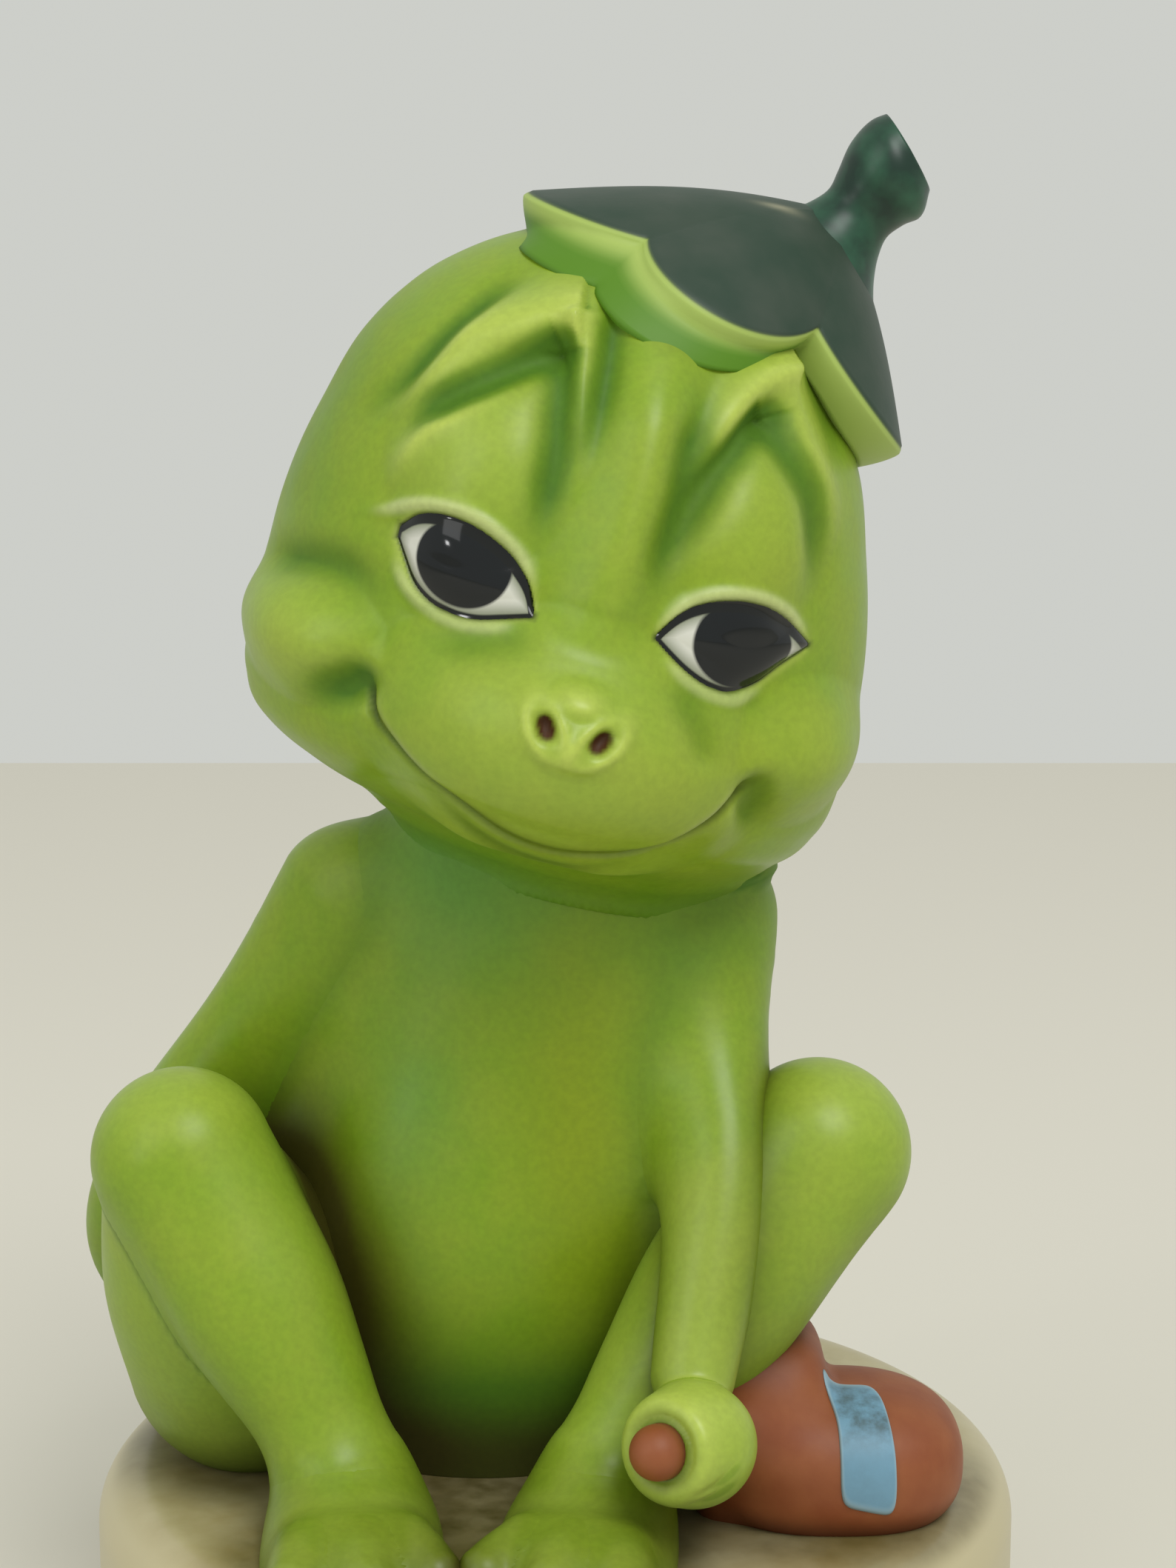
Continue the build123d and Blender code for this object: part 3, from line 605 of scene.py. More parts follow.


# one body form as a sheet: its rings eased out to its neighbours; painted shade darkens it in fillets, where it looks
# down, towards whatever lies close by and towards the base, and a painted highlight pales it where the skin looks up
def bodySheet(name, rings):
    paint, isThigh, isChest = bodyPaint, "Thigh" in name, name in ("torso", "rightArm", "leftArm")
    lead = neckLead["torso"] * (name == "torso") * ease(*neckLead["band"], rings[..., 2])
    points, fillet = settle(rings, forms[name], neighboursOf(name), lead)
    points[..., 2] = np.maximum(points[..., 2], seatLevel - bedded)
    upwards = outwards(points)[..., 2]
    kin = set().union({name}, *[group for group in grown if name in group])
    gap = np.minimum.reduce([form(points) for other, form in forms.items() if other not in kin])
    close = nearness(paint["close"], gap)
    across, up = points[..., 0], points[..., 2]
    marks = {mark: np.zeros(up.shape) for mark in ("deep", "warm", "cool", "pale", "crease")}
    marks["pale"] += sum(amount for kind, amount in paint["pale"].items() if kind in name)
    marks["pale"] += growing(paint["lookingUp"], upwards)
    marks["crease"] += paint["closeRight" if "right" in name else "closeLeft"] * close
    marks["crease"] += growing(paint["byBase"], up - seatLevel) + isThigh * growing(paint["inKnee"], fillet)
    marks["deep"] += growing(paint["lookingDown"], upwards)
    marks["deep"] += (isChest or isThigh) * growing(paint["inFillet"], fillet)
    body = forms["torso"](points)
    belongs = nearness(paint["belongs"], body)
    if isChest:
        neckPaint(marks, points, belongs)
        # painted shade under the chin; darker low on the belly
        marks["deep"] += belongs * growing(paint["lowBelly"], up) + nearness(paint["underChin"], forms["head"](points))
        marks["warm"] += belongs * spot(paint["belly"], across, up)
    # painted shade where the right leg lies against the torso and towards the seat; a cool spot on the flank
    if name == "torso":
        leg = np.minimum(forms["rightShin"](points), forms["rightThigh"](points))
        marks["cool"] += spot(paint["flankCool"], across, up)
        marks["deep"] += growing(paint["lap"], up)
        marks["crease"] += growing(paint["seat"], up) + nearness(paint["byRightLeg"], leg, 2)
    # painted shade on the right leg where it lies against the torso
    if name in ("rightThigh", "rightShin"):
        marks["crease"] += nearness(paint["byBody"], body, 2) * growing(paint["byBodyUp"], up)
    # painted shade where the left arm and the left thigh meet
    if name in ("leftThigh", "leftArm"):
        other = forms["leftArm" if name == "leftThigh" else "leftThigh"]
        marks["crease"] += nearness(paint["byArm"], other(points))
    if name == "leftArm":
        marks["pale"] += growing(paint["forearm"], up)
    if name == "leftShin":
        marks["pale"] += growing(paint["shinTop"], up)
        marks["cool"] += paint["shinCool"] * belongs
    # the painted highlight is held back in fillets and close to other forms
    marks["pale"] *= (1 - growing(paint["dulledInFillet"], fillet)) * (1 - close)
    return {"points": points, "marks": {mark: np.clip(value, 0, 1) for mark, value in marks.items()}}


# nearness to a smooth line: 1 on it, falling as a bell with the distance over a width, fading at its two ends
def stroke(x, z, points, width, fade=(0.35, 0.35), pieces=48):
    path = through(np.linspace(0, 1, len(points)), points, np.linspace(0, 1, pieces + 1))
    best, along = np.full(x.shape, 1e9), np.zeros(x.shape)
    for k in range(pieces):
        run = path[k + 1] - path[k]
        t = np.clip(((x - path[k, 0]) * run[0] + (z - path[k, 1]) * run[1]) / (run @ run), 0, 1)
        d = (x - path[k, 0] - t * run[0]) ** 2 + (z - path[k, 1] - t * run[1]) ** 2
        closer = d < best
        best, along = np.where(closer, d, best), np.where(closer, (k + t) / pieces, along)
    return np.exp(-best / width ** 2) * ease(-0.02, fade[0], along) * ease(1.02, 1 - fade[1], along)


# Torso: level ellipses stacked up a leaning line, from the seat to inside the head
torsoRings, torsoAround = grids["torso"]
rings = stackRings(torso, np.linspace(*torso["rise"], torsoRings), fullTurn(torsoAround))
ringMesh("torsoSkin", [bodySheet("torso", rings)], skin, "torso")

for side in ("right", "left"):
    leg = [bodySheet(side + part, limbRings(limbs[side + part], *grids["leg"])) for part in ("Thigh", "Shin")]
    ringMesh(side + "LegSkin", leg, skin, side + "_leg")
    foot = [bodySheet(f"{side}Toe{toe}", limbRings(limbs[f"{side}Toe{toe}"], *grids["toe"])) for toe in toes]
    foot.append(bodySheet(side + "Instep", ballRings(legs[side]["instep"], *grids["instep"])))
    ringMesh(side + "FootSkin", foot, skin, side + "_foot")
    arm = bodySheet(side + "Arm", limbRings(limbs[side + "Arm"], *grids["arm"]))
    ringMesh(side + "ArmSkin", [arm], skin, side + "_arm")
ringMesh("rightHandSkin", [bodySheet("palm", ballRings(palm, *grids["palm"]))], skin, "right_hand")

# Fist: a ball with two finger creases; the curled finger is a ring raised about the neck's line, with a groove in it
neck = {"path": [np.array([19.0, -17.0, 32.5]), np.array([9.3, -33.2, 37.0])], "radii": (2.6, 2.8, 2.6, 2.5)}
rings = ballRings(fist, *grids["fist"])
x, z = rings[..., 0] - fist["middle"][0], rings[..., 2] - fist["middle"][2]
forwards = growing(fist["front"], fist["middle"][1] - rings[..., 1])
along = unit(neck["path"][1] - neck["path"][0])
fromNeck = np.linalg.norm(np.cross(rings - neck["path"][0], along), axis=-1)
ahead = growing(fist["ahead"], (rings - fist["middle"]) @ along)
(curlAt, curlWidth, curlHeight), (grooveAt, grooveWidth, grooveDepth) = fist["curl"], fist["groove"]
curl = ahead * np.exp(-((fromNeck - curlAt) / curlWidth) ** 2)
groove = ahead * np.exp(-((fromNeck - grooveAt) / grooveWidth) ** 2)
lines = forwards * sum(stroke(x, z, line, fist["lineWidth"]) for line in fist["fingers"])
raised = curlHeight * curl - grooveDepth * groove - fist["lineDepth"] * lines
hand = bodySheet("fist", rings + raised[..., None] * outwards(rings))
# painted shade in the finger lines and the groove, a painted highlight on the curled finger
shades = {"crease": fist["lineShade"] * lines + fist["grooveShade"] * groove, "pale": fist["curlPale"] * curl}
for mark, shade in shades.items():
    hand["marks"][mark] = np.clip(hand["marks"][mark] + shade, 0, 1)
ringMesh("leftHandSkin", [hand], skin, "left_hand")
print("body, limbs and hands ready")

# Head: level ellipses about the head's own axis, with the face raised from the front as a height over (across, up); its
# raised forms are painted paler as painted highlights and its furrows darker as painted shade
face = {
    "bumps": [  # middle across, up; radius across, up; height; how much paler
        (-11.8, 21.5, 9.0, 9.5, 2.2, 0.5), (13.3, 21.8, 7.2, 9.5, 2.0, 0.35),  # eyelids
        (-22.8, 1.6, 8.2, 6.4, 3.2, 0.5), (22.6, 3.8, 7.2, 7.4, 3.0, 0.3),  # cheeks
        (2.0, -0.3, 19.5, 12.5, 7.4, 0.45),  # muzzle
        (1.7, 2.9, 6.0, 4.4, 0.7, 0.1), (1.6, 5.2, 2.6, 1.7, 0.8, 0.5),  # nose
        (2.5, -10.5, 17.0, 4.5, 1.5, 0.0)],  # chin
    "ridges": [  # points, width, height, how it fades at its two ends, paleness
        ([(-20.0, 21.5), (-18.1, 25.7), (-15.8, 30.1), (-13.8, 32.0), (-11.2, 33.6), (-8.6, 35.1),
          (-6.7, 35.6)], 2.5, 1.6, (0.4, 0.05), 1.0),
        ([(-7.2, 35.8), (-6.2, 32.9), (-5.5, 29.7), (-4.6, 26.6), (-3.8, 23.3), (-3.4, 20.0)], 1.5, 1.2,
         (0.05, 0.5), 0.9),
        ([(-19.3, 16.2), (-18.1, 19.1), (-16.8, 21.7), (-15.3, 23.5), (-13.4, 25.6), (-11.4, 27.5),
          (-9.2, 28.8)], 1.2, 0.6, (0.3, 0.5), 0.7),
        ([(0.8, 39.0), (1.2, 31.0), (1.8, 25.0), (1.8, 19.0), (1.6, 12.0), (1.6, 8.0)], 3.3, 2.1,
         (0.3, 0.25), 0.15),
        ([(6.0, 23.0), (6.7, 27.0), (7.5, 30.9), (8.8, 33.7), (10.4, 35.8), (11.8, 36.6)], 1.7, 1.3,
         (0.5, 0.05), 0.9),
        ([(11.2, 36.6), (12.8, 32.8), (14.8, 29.9), (17.4, 26.6), (19.5, 22.8), (20.8, 18.0)], 1.9, 1.0,
         (0.05, 0.6), 0.7)],
    "furrows": [  # points, width, depth, how it fades at its two ends
        ([(-23.6, 20.0), (-22.2, 22.9), (-20.4, 25.8), (-18.3, 29.5), (-16.6, 32.3), (-15.0, 34.7),
          (-13.2, 36.6), (-11.0, 38.4)], 1.1, 1.0, (0.4, 0.4)),
        ([(-18.9, 19.0), (-17.6, 23.1), (-15.6, 25.4), (-13.6, 27.3), (-11.7, 29.2), (-9.7, 31.1),
          (-7.9, 32.4)], 1.5, 1.4, (0.35, 0.02)),
        ([(-7.9, 32.4), (-7.0, 29.4), (-6.4, 26.3), (-5.9, 24.0), (-5.6, 20.4), (-5.3, 17.4),
          (-4.4, 13.4)], 1.6, 1.1, (0.02, 0.4)),
        ([(-5.4, 39.5), (-4.0, 34.1), (-3.5, 30.4), (-3.3, 27.0), (-2.9, 23.5), (-2.6, 20.5)], 1.4, 1.0,
         (0.2, 0.6)),
        ([(5.1, 36.0), (5.1, 30.0), (5.0, 26.8), (5.3, 23.5), (5.2, 18.5), (5.4, 15.5),
          (5.6, 12.0)], 1.7, 1.0, (0.3, 0.4)),
        ([(6.6, 17.0), (7.0, 21.0), (7.8, 25.5), (8.9, 28.0), (10.0, 30.3), (11.0, 31.6)], 1.4, 1.3,
         (0.4, 0.02)),
        ([(11.0, 31.6), (13.0, 29.3), (14.9, 27.3), (16.3, 25.5), (17.7, 22.6), (18.9, 19.5),
          (19.5, 16.0)], 1.5, 1.1, (0.02, 0.4)),
        ([(11.8, 37.8), (14.0, 36.1), (15.9, 34.1), (17.6, 32.0), (18.9, 29.4), (20.0, 26.0)], 1.3, 0.6,
         (0.3, 0.5)),
        ([(-29.0, 5.8), (-23.6, 8.2), (-19.6, 8.3), (-15.6, 5.0)], 1.8, 0.8, (0.2, 0.5)),
        ([(-13.5, 4.6), (-7.0, 6.8), (-2.6, 9.2)], 1.8, 0.5, (0.4, 0.3)),
        ([(7.6, 9.4), (10.6, 6.0), (12.4, 3.0), (12.8, 1.0)], 1.9, 0.6, (0.3, 0.5)),
        ([(17.0, 2.6), (18.4, 0.0), (19.4, -2.4), (20.8, -5.4)], 1.5, 1.2, (0.3, 0.5))],
    "dimple": ([(-22.5, -4.0), (-20.0, -2.8), (-18.0, -1.2), (-16.6, 0.2), (-15.4, 2.2)], 1.6, 1.5, (0.5, 0.3)),
    "mouth": {"line": [(-15.9, 0.2), (-14.5, -2.3), (-12.1, -3.8), (-8.7, -5.3), (-5.5, -6.2), (-1.4, -7.3),
                       (2.4, -7.6), (6.0, -7.3), (9.6, -6.6), (12.5, -4.9), (14.9, -2.8), (16.2, -1.0), (17.8, 1.2)],
              "groove": 0.9, "width": 0.5, "shadeWidth": 0.65, "fade": (0.05, 0.05), "step": 1.1, "recover": 5.0,
              "second": [(-10.0, -6.0), (-5.8, -7.9), (-1.6, -9.2), (2.5, -9.7), (6.5, -9.4), (11.0, -7.5)],
              "secondWidth": 0.7, "secondDepth": 0.55, "lipWidth": 1.5, "lipHeight": 0.5,
              "lip": [(-12.5, -6.4), (-7.0, -8.9), (-2.7, -10.4), (1.4, -11.2), (7.0, -10.8), (12.1, -8.9),
                      (16.1, -6.2)]},
    "nose": {"slits": ([(-1.0, 3.8), (-0.35, 2.4), (0.3, 1.0)], [(4.3, 3.8), (3.6, 2.4), (2.9, 1.0)]),
             "slitWidth": 0.65, "slitDepth": 1.3,
             "rims": ((-0.4, 2.4, 0.45), (3.6, 2.4, -0.45)),  # middle across, up, lean
             "rimWide": 1.35, "rimTall": 2.2, "rimShare": 0.4, "rimHeight": 0.35},
    "rightLids": {"upper": [(-17.0, 13.9), (-15.6, 15.1), (-13.4, 15.9), (-11.0, 15.9), (-8.7, 15.2),
                            (-6.4, 13.8), (-4.9, 12.2), (-3.9, 10.2)],
                  "lower": [(-17.0, 12.9), (-16.0, 11.6), (-14.7, 10.0), (-12.9, 8.8), (-10.8, 8.4),
                            (-8.5, 8.6), (-6.4, 9.3), (-3.9, 10.2)],
                  "iris": (-10.6, 12.6, 4.1, 3.7)},
    "leftLids": {"upper": [(6.6, 11.3), (7.9, 13.4), (9.7, 14.9), (12.0, 15.8), (14.4, 15.9), (17.0, 15.2),
                           (20.3, 13.4)],
                 "lower": [(6.6, 11.3), (7.8, 10.5), (9.8, 9.3), (12.0, 8.5), (14.5, 8.5), (16.6, 9.7),
                           (18.2, 11.5), (20.3, 13.4)],
                 "iris": (13.9, 12.4, 4.4, 3.8)},
    "rims": [  # points, width, height and paleness of the lid edges
        ([(-21.2, 13.5), (-18.8, 14.6), (-16.5, 15.8), (-14.2, 16.6), (-11.7, 16.9), (-9.3, 16.4),
          (-6.9, 15.2), (-5.0, 13.4), (-3.7, 11.4)], 0.7, 0.6, 0.65),
        ([(-17.6, 12.0), (-15.5, 9.5), (-12.9, 8.0), (-9.6, 7.7), (-6.6, 8.4), (-4.4, 9.3)], 0.7, 0.4, 0.45),
        ([(6.0, 10.8), (7.2, 13.2), (9.0, 15.3), (11.3, 16.4), (13.8, 16.7), (16.7, 16.0), (18.8, 14.9),
          (20.6, 13.4)], 0.7, 0.6, 0.65),
        ([(6.9, 10.3), (9.6, 8.6), (12.3, 7.7), (15.2, 7.8), (17.8, 9.8)], 0.65, 0.4, 0.4)],
    "underCap": [(-14.5, 40.6), (-9.0, 41.6), (-3.5, 38.8), (1.7, 36.8), (5.1, 37.3), (11.3, 39.4),
                 (17.0, 35.0), (20.4, 31.3)],
    # painted shadow under the cap, painted shade under the jaw and in dips, painted highlight on crests
    "capShade": 1.8, "underJaw": (0.6, -9.0, -12.5), "templeAcross": (0.25, -20, -27), "templeUp": (1.0, 8, 14),
    "warmCheek": (0.5, 14, -1, 9, 8), "warmLid": (0.35, 13, 20, 6, 6), "inDips": (0.8, 0.05, 0.45),
    "onCrests": (0.5, 0.05, 0.4), "paleBase": 0.05, "paleShare": 0.8, "deepOver": (1.0, 0.1, 0.6),
    "creaseOver": (1.0, 0.2, 0.6),
    "front": (1.0, -0.12, 0.25), "aboveNeck": (1.0, -12.8, -9.5),  # where the relief fades in: to the front, up the jaw
    "outwards": (1, 1, 0.35),  # the relief stands out from the skull more level than the skull's normal
    "recess": 1.8, "rings": 300, "around": 320, "smoothing": 14}


# how far inside an eye's opening a place on the face lies, in millimetres (below 0 outside)
def insideLids(x, z, lids, lash=0):
    upper, lower = np.array(lids["upper"]), np.array(lids["lower"])
    over = through(upper[:, 0], upper[:, 1], x) - z - lash
    under = z - through(lower[:, 0], lower[:, 1], x)
    ends = np.minimum(x - upper[0, 0], upper[-1, 0] - x)
    return np.minimum(np.minimum(over, under), ends)


# how deep the head is cut away behind the eyes
def eyeRecess(x, z):
    return face["recess"] * sum(ease(-0.15, 0.6, insideLids(x, z, face[side + "Lids"])) for side in ("right", "left"))


# the face's height over the skull, and the paint's masks that go with it: painted highlights on bumps, ridges and nose
# rims, painted shade in the furrows, the dimple and the mouth's grooves
def faceHeight(x, z):
    height, marks = np.zeros(x.shape), {mark: np.zeros(x.shape) for mark in skinMarks}
    for across, up, wide, tall, high, paler in face["bumps"]:
        dome = np.clip(1 - ((x - across) / wide) ** 2 - ((z - up) / tall) ** 2, 0, 1) ** 1.5
        height += high * dome
        marks["pale"] += paler * dome
    for points, width, high, fade, paleness in face["ridges"]:
        bell = stroke(x, z, points, width, fade)
        height += high * bell
        marks["pale"] += paleness * bell
    for points, width, deep, fade in face["furrows"]:
        bell = stroke(x, z, points, width, fade)
        height -= deep * bell
        marks["deep"] += 0.9 * deep * bell
    points, width, deep, fade = face["dimple"]
    bell = stroke(x, z, points, width, fade)
    height -= deep * bell
    marks["deep"] += bell
    # mouth: the upper lip stands over a step that grows back below it, with a groove under it and a fainter one lower;
    # painted shade runs along both grooves and under the jaw, a painted highlight along the lower lip
    mouth = face["mouth"]
    line = np.array(mouth["line"])
    below = through(line[:, 0], line[:, 1], x) - z
    inside = ease(line[0, 0] - 1, line[0, 0] + 4, x) * ease(line[-1, 0] + 1, line[-1, 0] - 4, x)
    recovered = np.exp(-(np.maximum(below, 0) / mouth["recover"]) ** 2)
    height -= mouth["step"] * inside * ease(-0.3, 0.5, below) * recovered
    groove = stroke(x, z, mouth["line"], mouth["width"], mouth["fade"])
    shade = stroke(x, z, mouth["line"], mouth["shadeWidth"], mouth["fade"])
    second, lip = stroke(x, z, mouth["second"], mouth["secondWidth"]), stroke(x, z, mouth["lip"], mouth["lipWidth"])
    height += mouth["lipHeight"] * lip - mouth["groove"] * groove - mouth["secondDepth"] * second
    marks["crease"] += 0.6 * shade + 0.25 * second
    marks["deep"] += 0.4 * second + growing(face["underJaw"], z)
    marks["pale"] += 0.3 * lip
    nose = face["nose"]
    for across, up, lean in nose["rims"]:
        ring = np.hypot((x - across + lean * (z - up)) / nose["rimWide"], (z - up) / nose["rimTall"])
        bell = np.exp(-((ring - 1) / nose["rimShare"]) ** 2)
        height += nose["rimHeight"] * bell
        marks["pale"] += 0.25 * bell
    for points in nose["slits"]:
        slit = stroke(x, z, points, nose["slitWidth"], (0.45, 0.45))
        height -= nose["slitDepth"] * slit
        marks["brown"] += ease(0.2, 0.6, slit)
    for points, width, high, paleness in face["rims"]:
        bell = stroke(x, z, points, width, (0.25, 0.25))
        height += high * bell
        marks["cream"] += paleness * ease(0.1, 0.9, bell)
    for lids in (face["rightLids"], face["leftLids"]):
        inside = insideLids(x, z, lids)
        marks["line"] += ease(-0.55, 0.05, inside)
        marks["cream"] *= 1 - ease(-0.2, 0.1, inside)
    # painted shadow under the cap's edge
    marks["crease"] += 0.45 * stroke(x, z, face["underCap"], face["capShade"], (0.1, 0.1))
    marks["warm"] += spot(face["warmCheek"], x, z) + spot(face["warmLid"], x, z)
    marks["deep"] += growing(face["templeAcross"], x) * growing(face["templeUp"], z)
    return height, marks


rise = through(*np.array(skull["ringLevels"]).T, np.linspace(0, 1, face["rings"]))
sweep = np.linspace(-1, 1, face["around"], endpoint=False)
turn = np.pi * (0.48 * sweep + 0.52 * sweep ** 3)  # from the front, closer together on the face
rings = stackRings(skull, rise, turn - np.pi / 2)
x, z = rings[..., 0], rings[..., 2]
height, marks = faceHeight(x, z)
front = growing(face["front"], np.cos(turn)) * growing(face["aboveNeck"], z)
relief = front * (height - eyeRecess(x, z))
headPoints = rings + relief[..., None] * unit(outwards(rings) * face["outwards"])
# painted shade in the face's hollows and a painted highlight on its crests, held back where painted shade lies
dip = hollow(headPoints, face["smoothing"])
marks["deep"] += growing(face["inDips"], dip)
marks["pale"] = face["paleBase"] + face["paleShare"] * marks["pale"] + growing(face["onCrests"], -dip)
marks["pale"] *= (1 - growing(face["deepOver"], marks["deep"])) * (1 - growing(face["creaseOver"], marks["crease"]))
marks = {mark: np.clip(front * value, 0, 1) for mark, value in marks.items()}
headPoints = headPoints @ headAxes + headMiddle
headPoints, fillet = settle(headPoints, None, [(forms["torso"], neckBlend)], neckLead["head"])
# the chest's paint runs up onto the head, with painted shade in the fillet at the neck
neckPaint(marks, headPoints, nearness(bodyPaint["belongs"], forms["torso"](headPoints)))
marks["deep"] += growing(bodyPaint["inFillet"], fillet)
marks = {mark: np.clip(value, 0, 1) for mark, value in marks.items()}
ringMesh("headSkin", [{"points": headPoints, "marks": marks}], skin, "head")
print("head ready")


# how far forwards the bare skull stands at a place on the face
def skullFront(x, z):
    levels = np.asarray(skull["levels"])
    middle, back, wide, deep = np.moveaxis(through(levels[:, 0], levels[:, 1:], z), -1, 0)
    return deep * np.sqrt(np.clip(1 - ((x - middle) / wide) ** 2, 0.02, 1)) - back


# a place on the face: out from the skull along its normal, as the head's own points are
def onFace(x, z, height, step=0.05):
    slopeX = (skullFront(x + step, z) - skullFront(x - step, z)) / (2 * step)
    slopeZ = (skullFront(x, z + step) - skullFront(x, z - step)) / (2 * step)
    normal = unit(unit(np.stack([-slopeX, -np.ones(x.shape), -slopeZ], -1)) * face["outwards"])
    return np.stack([x, -skullFront(x, z), z], -1) + height[..., None] * normal


# Eyes: an almond between the lids, domed like a lens; a disc whose chords stretch from the lower to the upper lid
eyes = {"rings": 40, "around": 160, "lash": 0.55, "spill": 0.4, "sunk": 0.22, "dome": 1.7, "behind": 1.2}
for side in ("right", "left"):
    lids = face[side + "Lids"]
    upper, lower = np.array(lids["upper"]), np.array(lids["lower"])
    front, back = np.linspace(0.02, 1, eyes["rings"]), np.linspace(0.97, 0.02, eyes["rings"] // 2)
    reach = np.concatenate([front, back])[:, None]
    turn = fullTurn(eyes["around"])
    p, q = reach * np.cos(turn), reach * np.sin(turn)
    halfWide = (upper[-1, 0] - upper[0, 0]) / 2 + eyes["spill"]
    x = (upper[-1, 0] + upper[0, 0]) / 2 + halfWide * p
    over = through(upper[:, 0], upper[:, 1], x) + eyes["spill"]
    under = through(lower[:, 0], lower[:, 1], x) - eyes["spill"]
    z = (over + under) / 2 + (over - under) / 2 * q / np.sqrt(1 - np.minimum(p ** 2, 0.999))
    bulge = eyes["dome"] * (1 - reach ** 2)
    bulge[eyes["rings"]:] = -eyes["behind"] * (1 - reach[eyes["rings"]:] ** 2)
    irisX, irisZ, irisWide, irisTall = lids["iris"]
    marks = {"fromIris": np.hypot((x - irisX) / irisWide, (z - irisZ) / irisTall),
             "fromLid": insideLids(x, z, lids, eyes["lash"])}
    points = onFace(x, z, faceHeight(x, z)[0] + bulge - eyes["sunk"]) @ headAxes + headMiddle
    ringMesh(side + "EyeGlaze", [{"points": points, "marks": marks}], eyeGlaze, side + "_eye")
print("eyes ready")

# Leaf cap: a lobed leaf bent over a cone, swollen a little, with a rim that turns down and in; its rings go from the
# stalk out over the top, round the edge, down the rim's wall and back under; corners and lobes are angle and reach
cap = {"middle": (13.5, 3.0, 50.6), "lean": 22.9, "slope": 35.5, "bulge": 1.3,
       "corners": ((180.0, 23.6), (227.0, 18.7), (287.5, 13.6), (370.0, 18.2), (445.0, 15.0), (540.0, 23.6)),
       "lobes": ((206.0, 22.8), (255.0, 20.8), (325.0, 17.5), (405.0, 18.0), (488.0, 20.5)), "around": 360,
       "rims": ((180.0, 2.6, 3.4), (206.0, 3.5, 2.4), (227.0, 5.0, 2.2), (255.0, 4.7, 2.2), (275.0, 3.2, 1.6),
                (287.5, 2.2, 1.2), (325.0, 2.0, 1.2), (370.0, 2.8, 1.6), (450.0, 3.6, 2.0),
                (540.0, 2.6, 3.4)),  # angle, height, how far in
       "edgeRound": 0.5, "topRings": 44, "wallRings": 14, "underRings": 8, "wallReach": 1.35,
       "wear": (0.6, -5, -4.5, 1.6, 0.7)}
capAxes = rolledAxes(cap["lean"])


def capToRow(points):
    return (points @ capAxes + cap["middle"]) @ headAxes + headMiddle


# the leaf's reach at an angle: a parabola through each corner, the lobe beyond it and the next corner
def leafReach(angle):
    angle = 180 + (angle - 180) % 360
    reach = np.zeros(angle.shape)
    for (a0, r0), (a1, r1), (a2, r2) in zip(cap["corners"], cap["lobes"], cap["corners"][1:]):
        part = (angle >= a0) & (angle <= a2)
        curve = r0 * (angle - a1) * (angle - a2) / ((a0 - a1) * (a0 - a2))
        curve += r1 * (angle - a0) * (angle - a2) / ((a1 - a0) * (a1 - a2))
        curve += r2 * (angle - a0) * (angle - a1) / ((a2 - a0) * (a2 - a1))
        reach = np.where(part, curve, reach)
    return reach


angle = np.linspace(180, 540, cap["around"], endpoint=False)
edge = leafReach(angle)
rims = np.array(cap["rims"])
rimHeight, rimInward = through(rims[:, 0], rims[:, 1:], angle).T
steep = math.tan(math.radians(cap["slope"]))
spoke = np.radians(angle)
top, down, under = cap["topRings"], cap["wallRings"], cap["underRings"]
turned = [0.15, 0.4, 0.7, 0.9, 1.0]  # round the edge, from the top to the wall
out = np.concatenate([np.linspace(0.02, 0.985, top), np.ones(len(turned) + down),
                      np.linspace(0.9, 0.05, under)])[:, None]
bend = np.concatenate([np.zeros(top), turned, np.ones(down + under)])[:, None]
wall = np.concatenate([np.zeros(top + len(turned)), np.linspace(0.05, cap["wallReach"], down),
                       np.full(under, cap["wallReach"])])[:, None]  # down the wall and beyond
rounding = cap["edgeRound"] * (bend > 0) * (1 - np.sqrt(np.maximum(1 - (1 - bend) ** 2, 0)))
radius = out * (edge - rounding - rimInward * wall ** 1.3)
swell = (cap["bulge"] - 0.3 * np.cos(spoke)) * np.sin(np.pi * np.minimum(out, 1)) * (wall == 0)
drop = -steep * np.where(wall > 0, edge, radius) + swell - cap["edgeRound"] * bend - rimHeight * wall
points = np.stack([radius * np.cos(spoke), radius * np.sin(spoke), drop], -1)
rimMask = ease(0.05, 0.5, bend) + 0 * radius
lowMask = ease(0.12, 0.55, wall) * (1 - ease(281, 291, angle) * ease(400, 385, angle))
wear = spot(cap["wear"], points[..., 0], points[..., 1]) * (1 - rimMask)
points = capToRow(points)
# the wall lies on the head: where it would sink in it is pushed out level, less and less towards its foot
wanted = np.where(wall <= 1, 0.4 + 1.5 * (1 - wall), -1.5)
spread = toHead(points) * [1, 1, 0] @ headAxes
facing = ease(186, 212, angle) * ease(312, 290, angle)
push = facing * (wall > 0) * (out == 1) * np.clip(wanted - forms["head"](points), 0, 6)
points = points + push[..., None] * unit(spread)
marks = {"rim": rimMask, "low": lowMask, "wear": wear}
ringMesh("leafCapClay", [{"points": points, "marks": marks}], leaf, "leaf_cap")

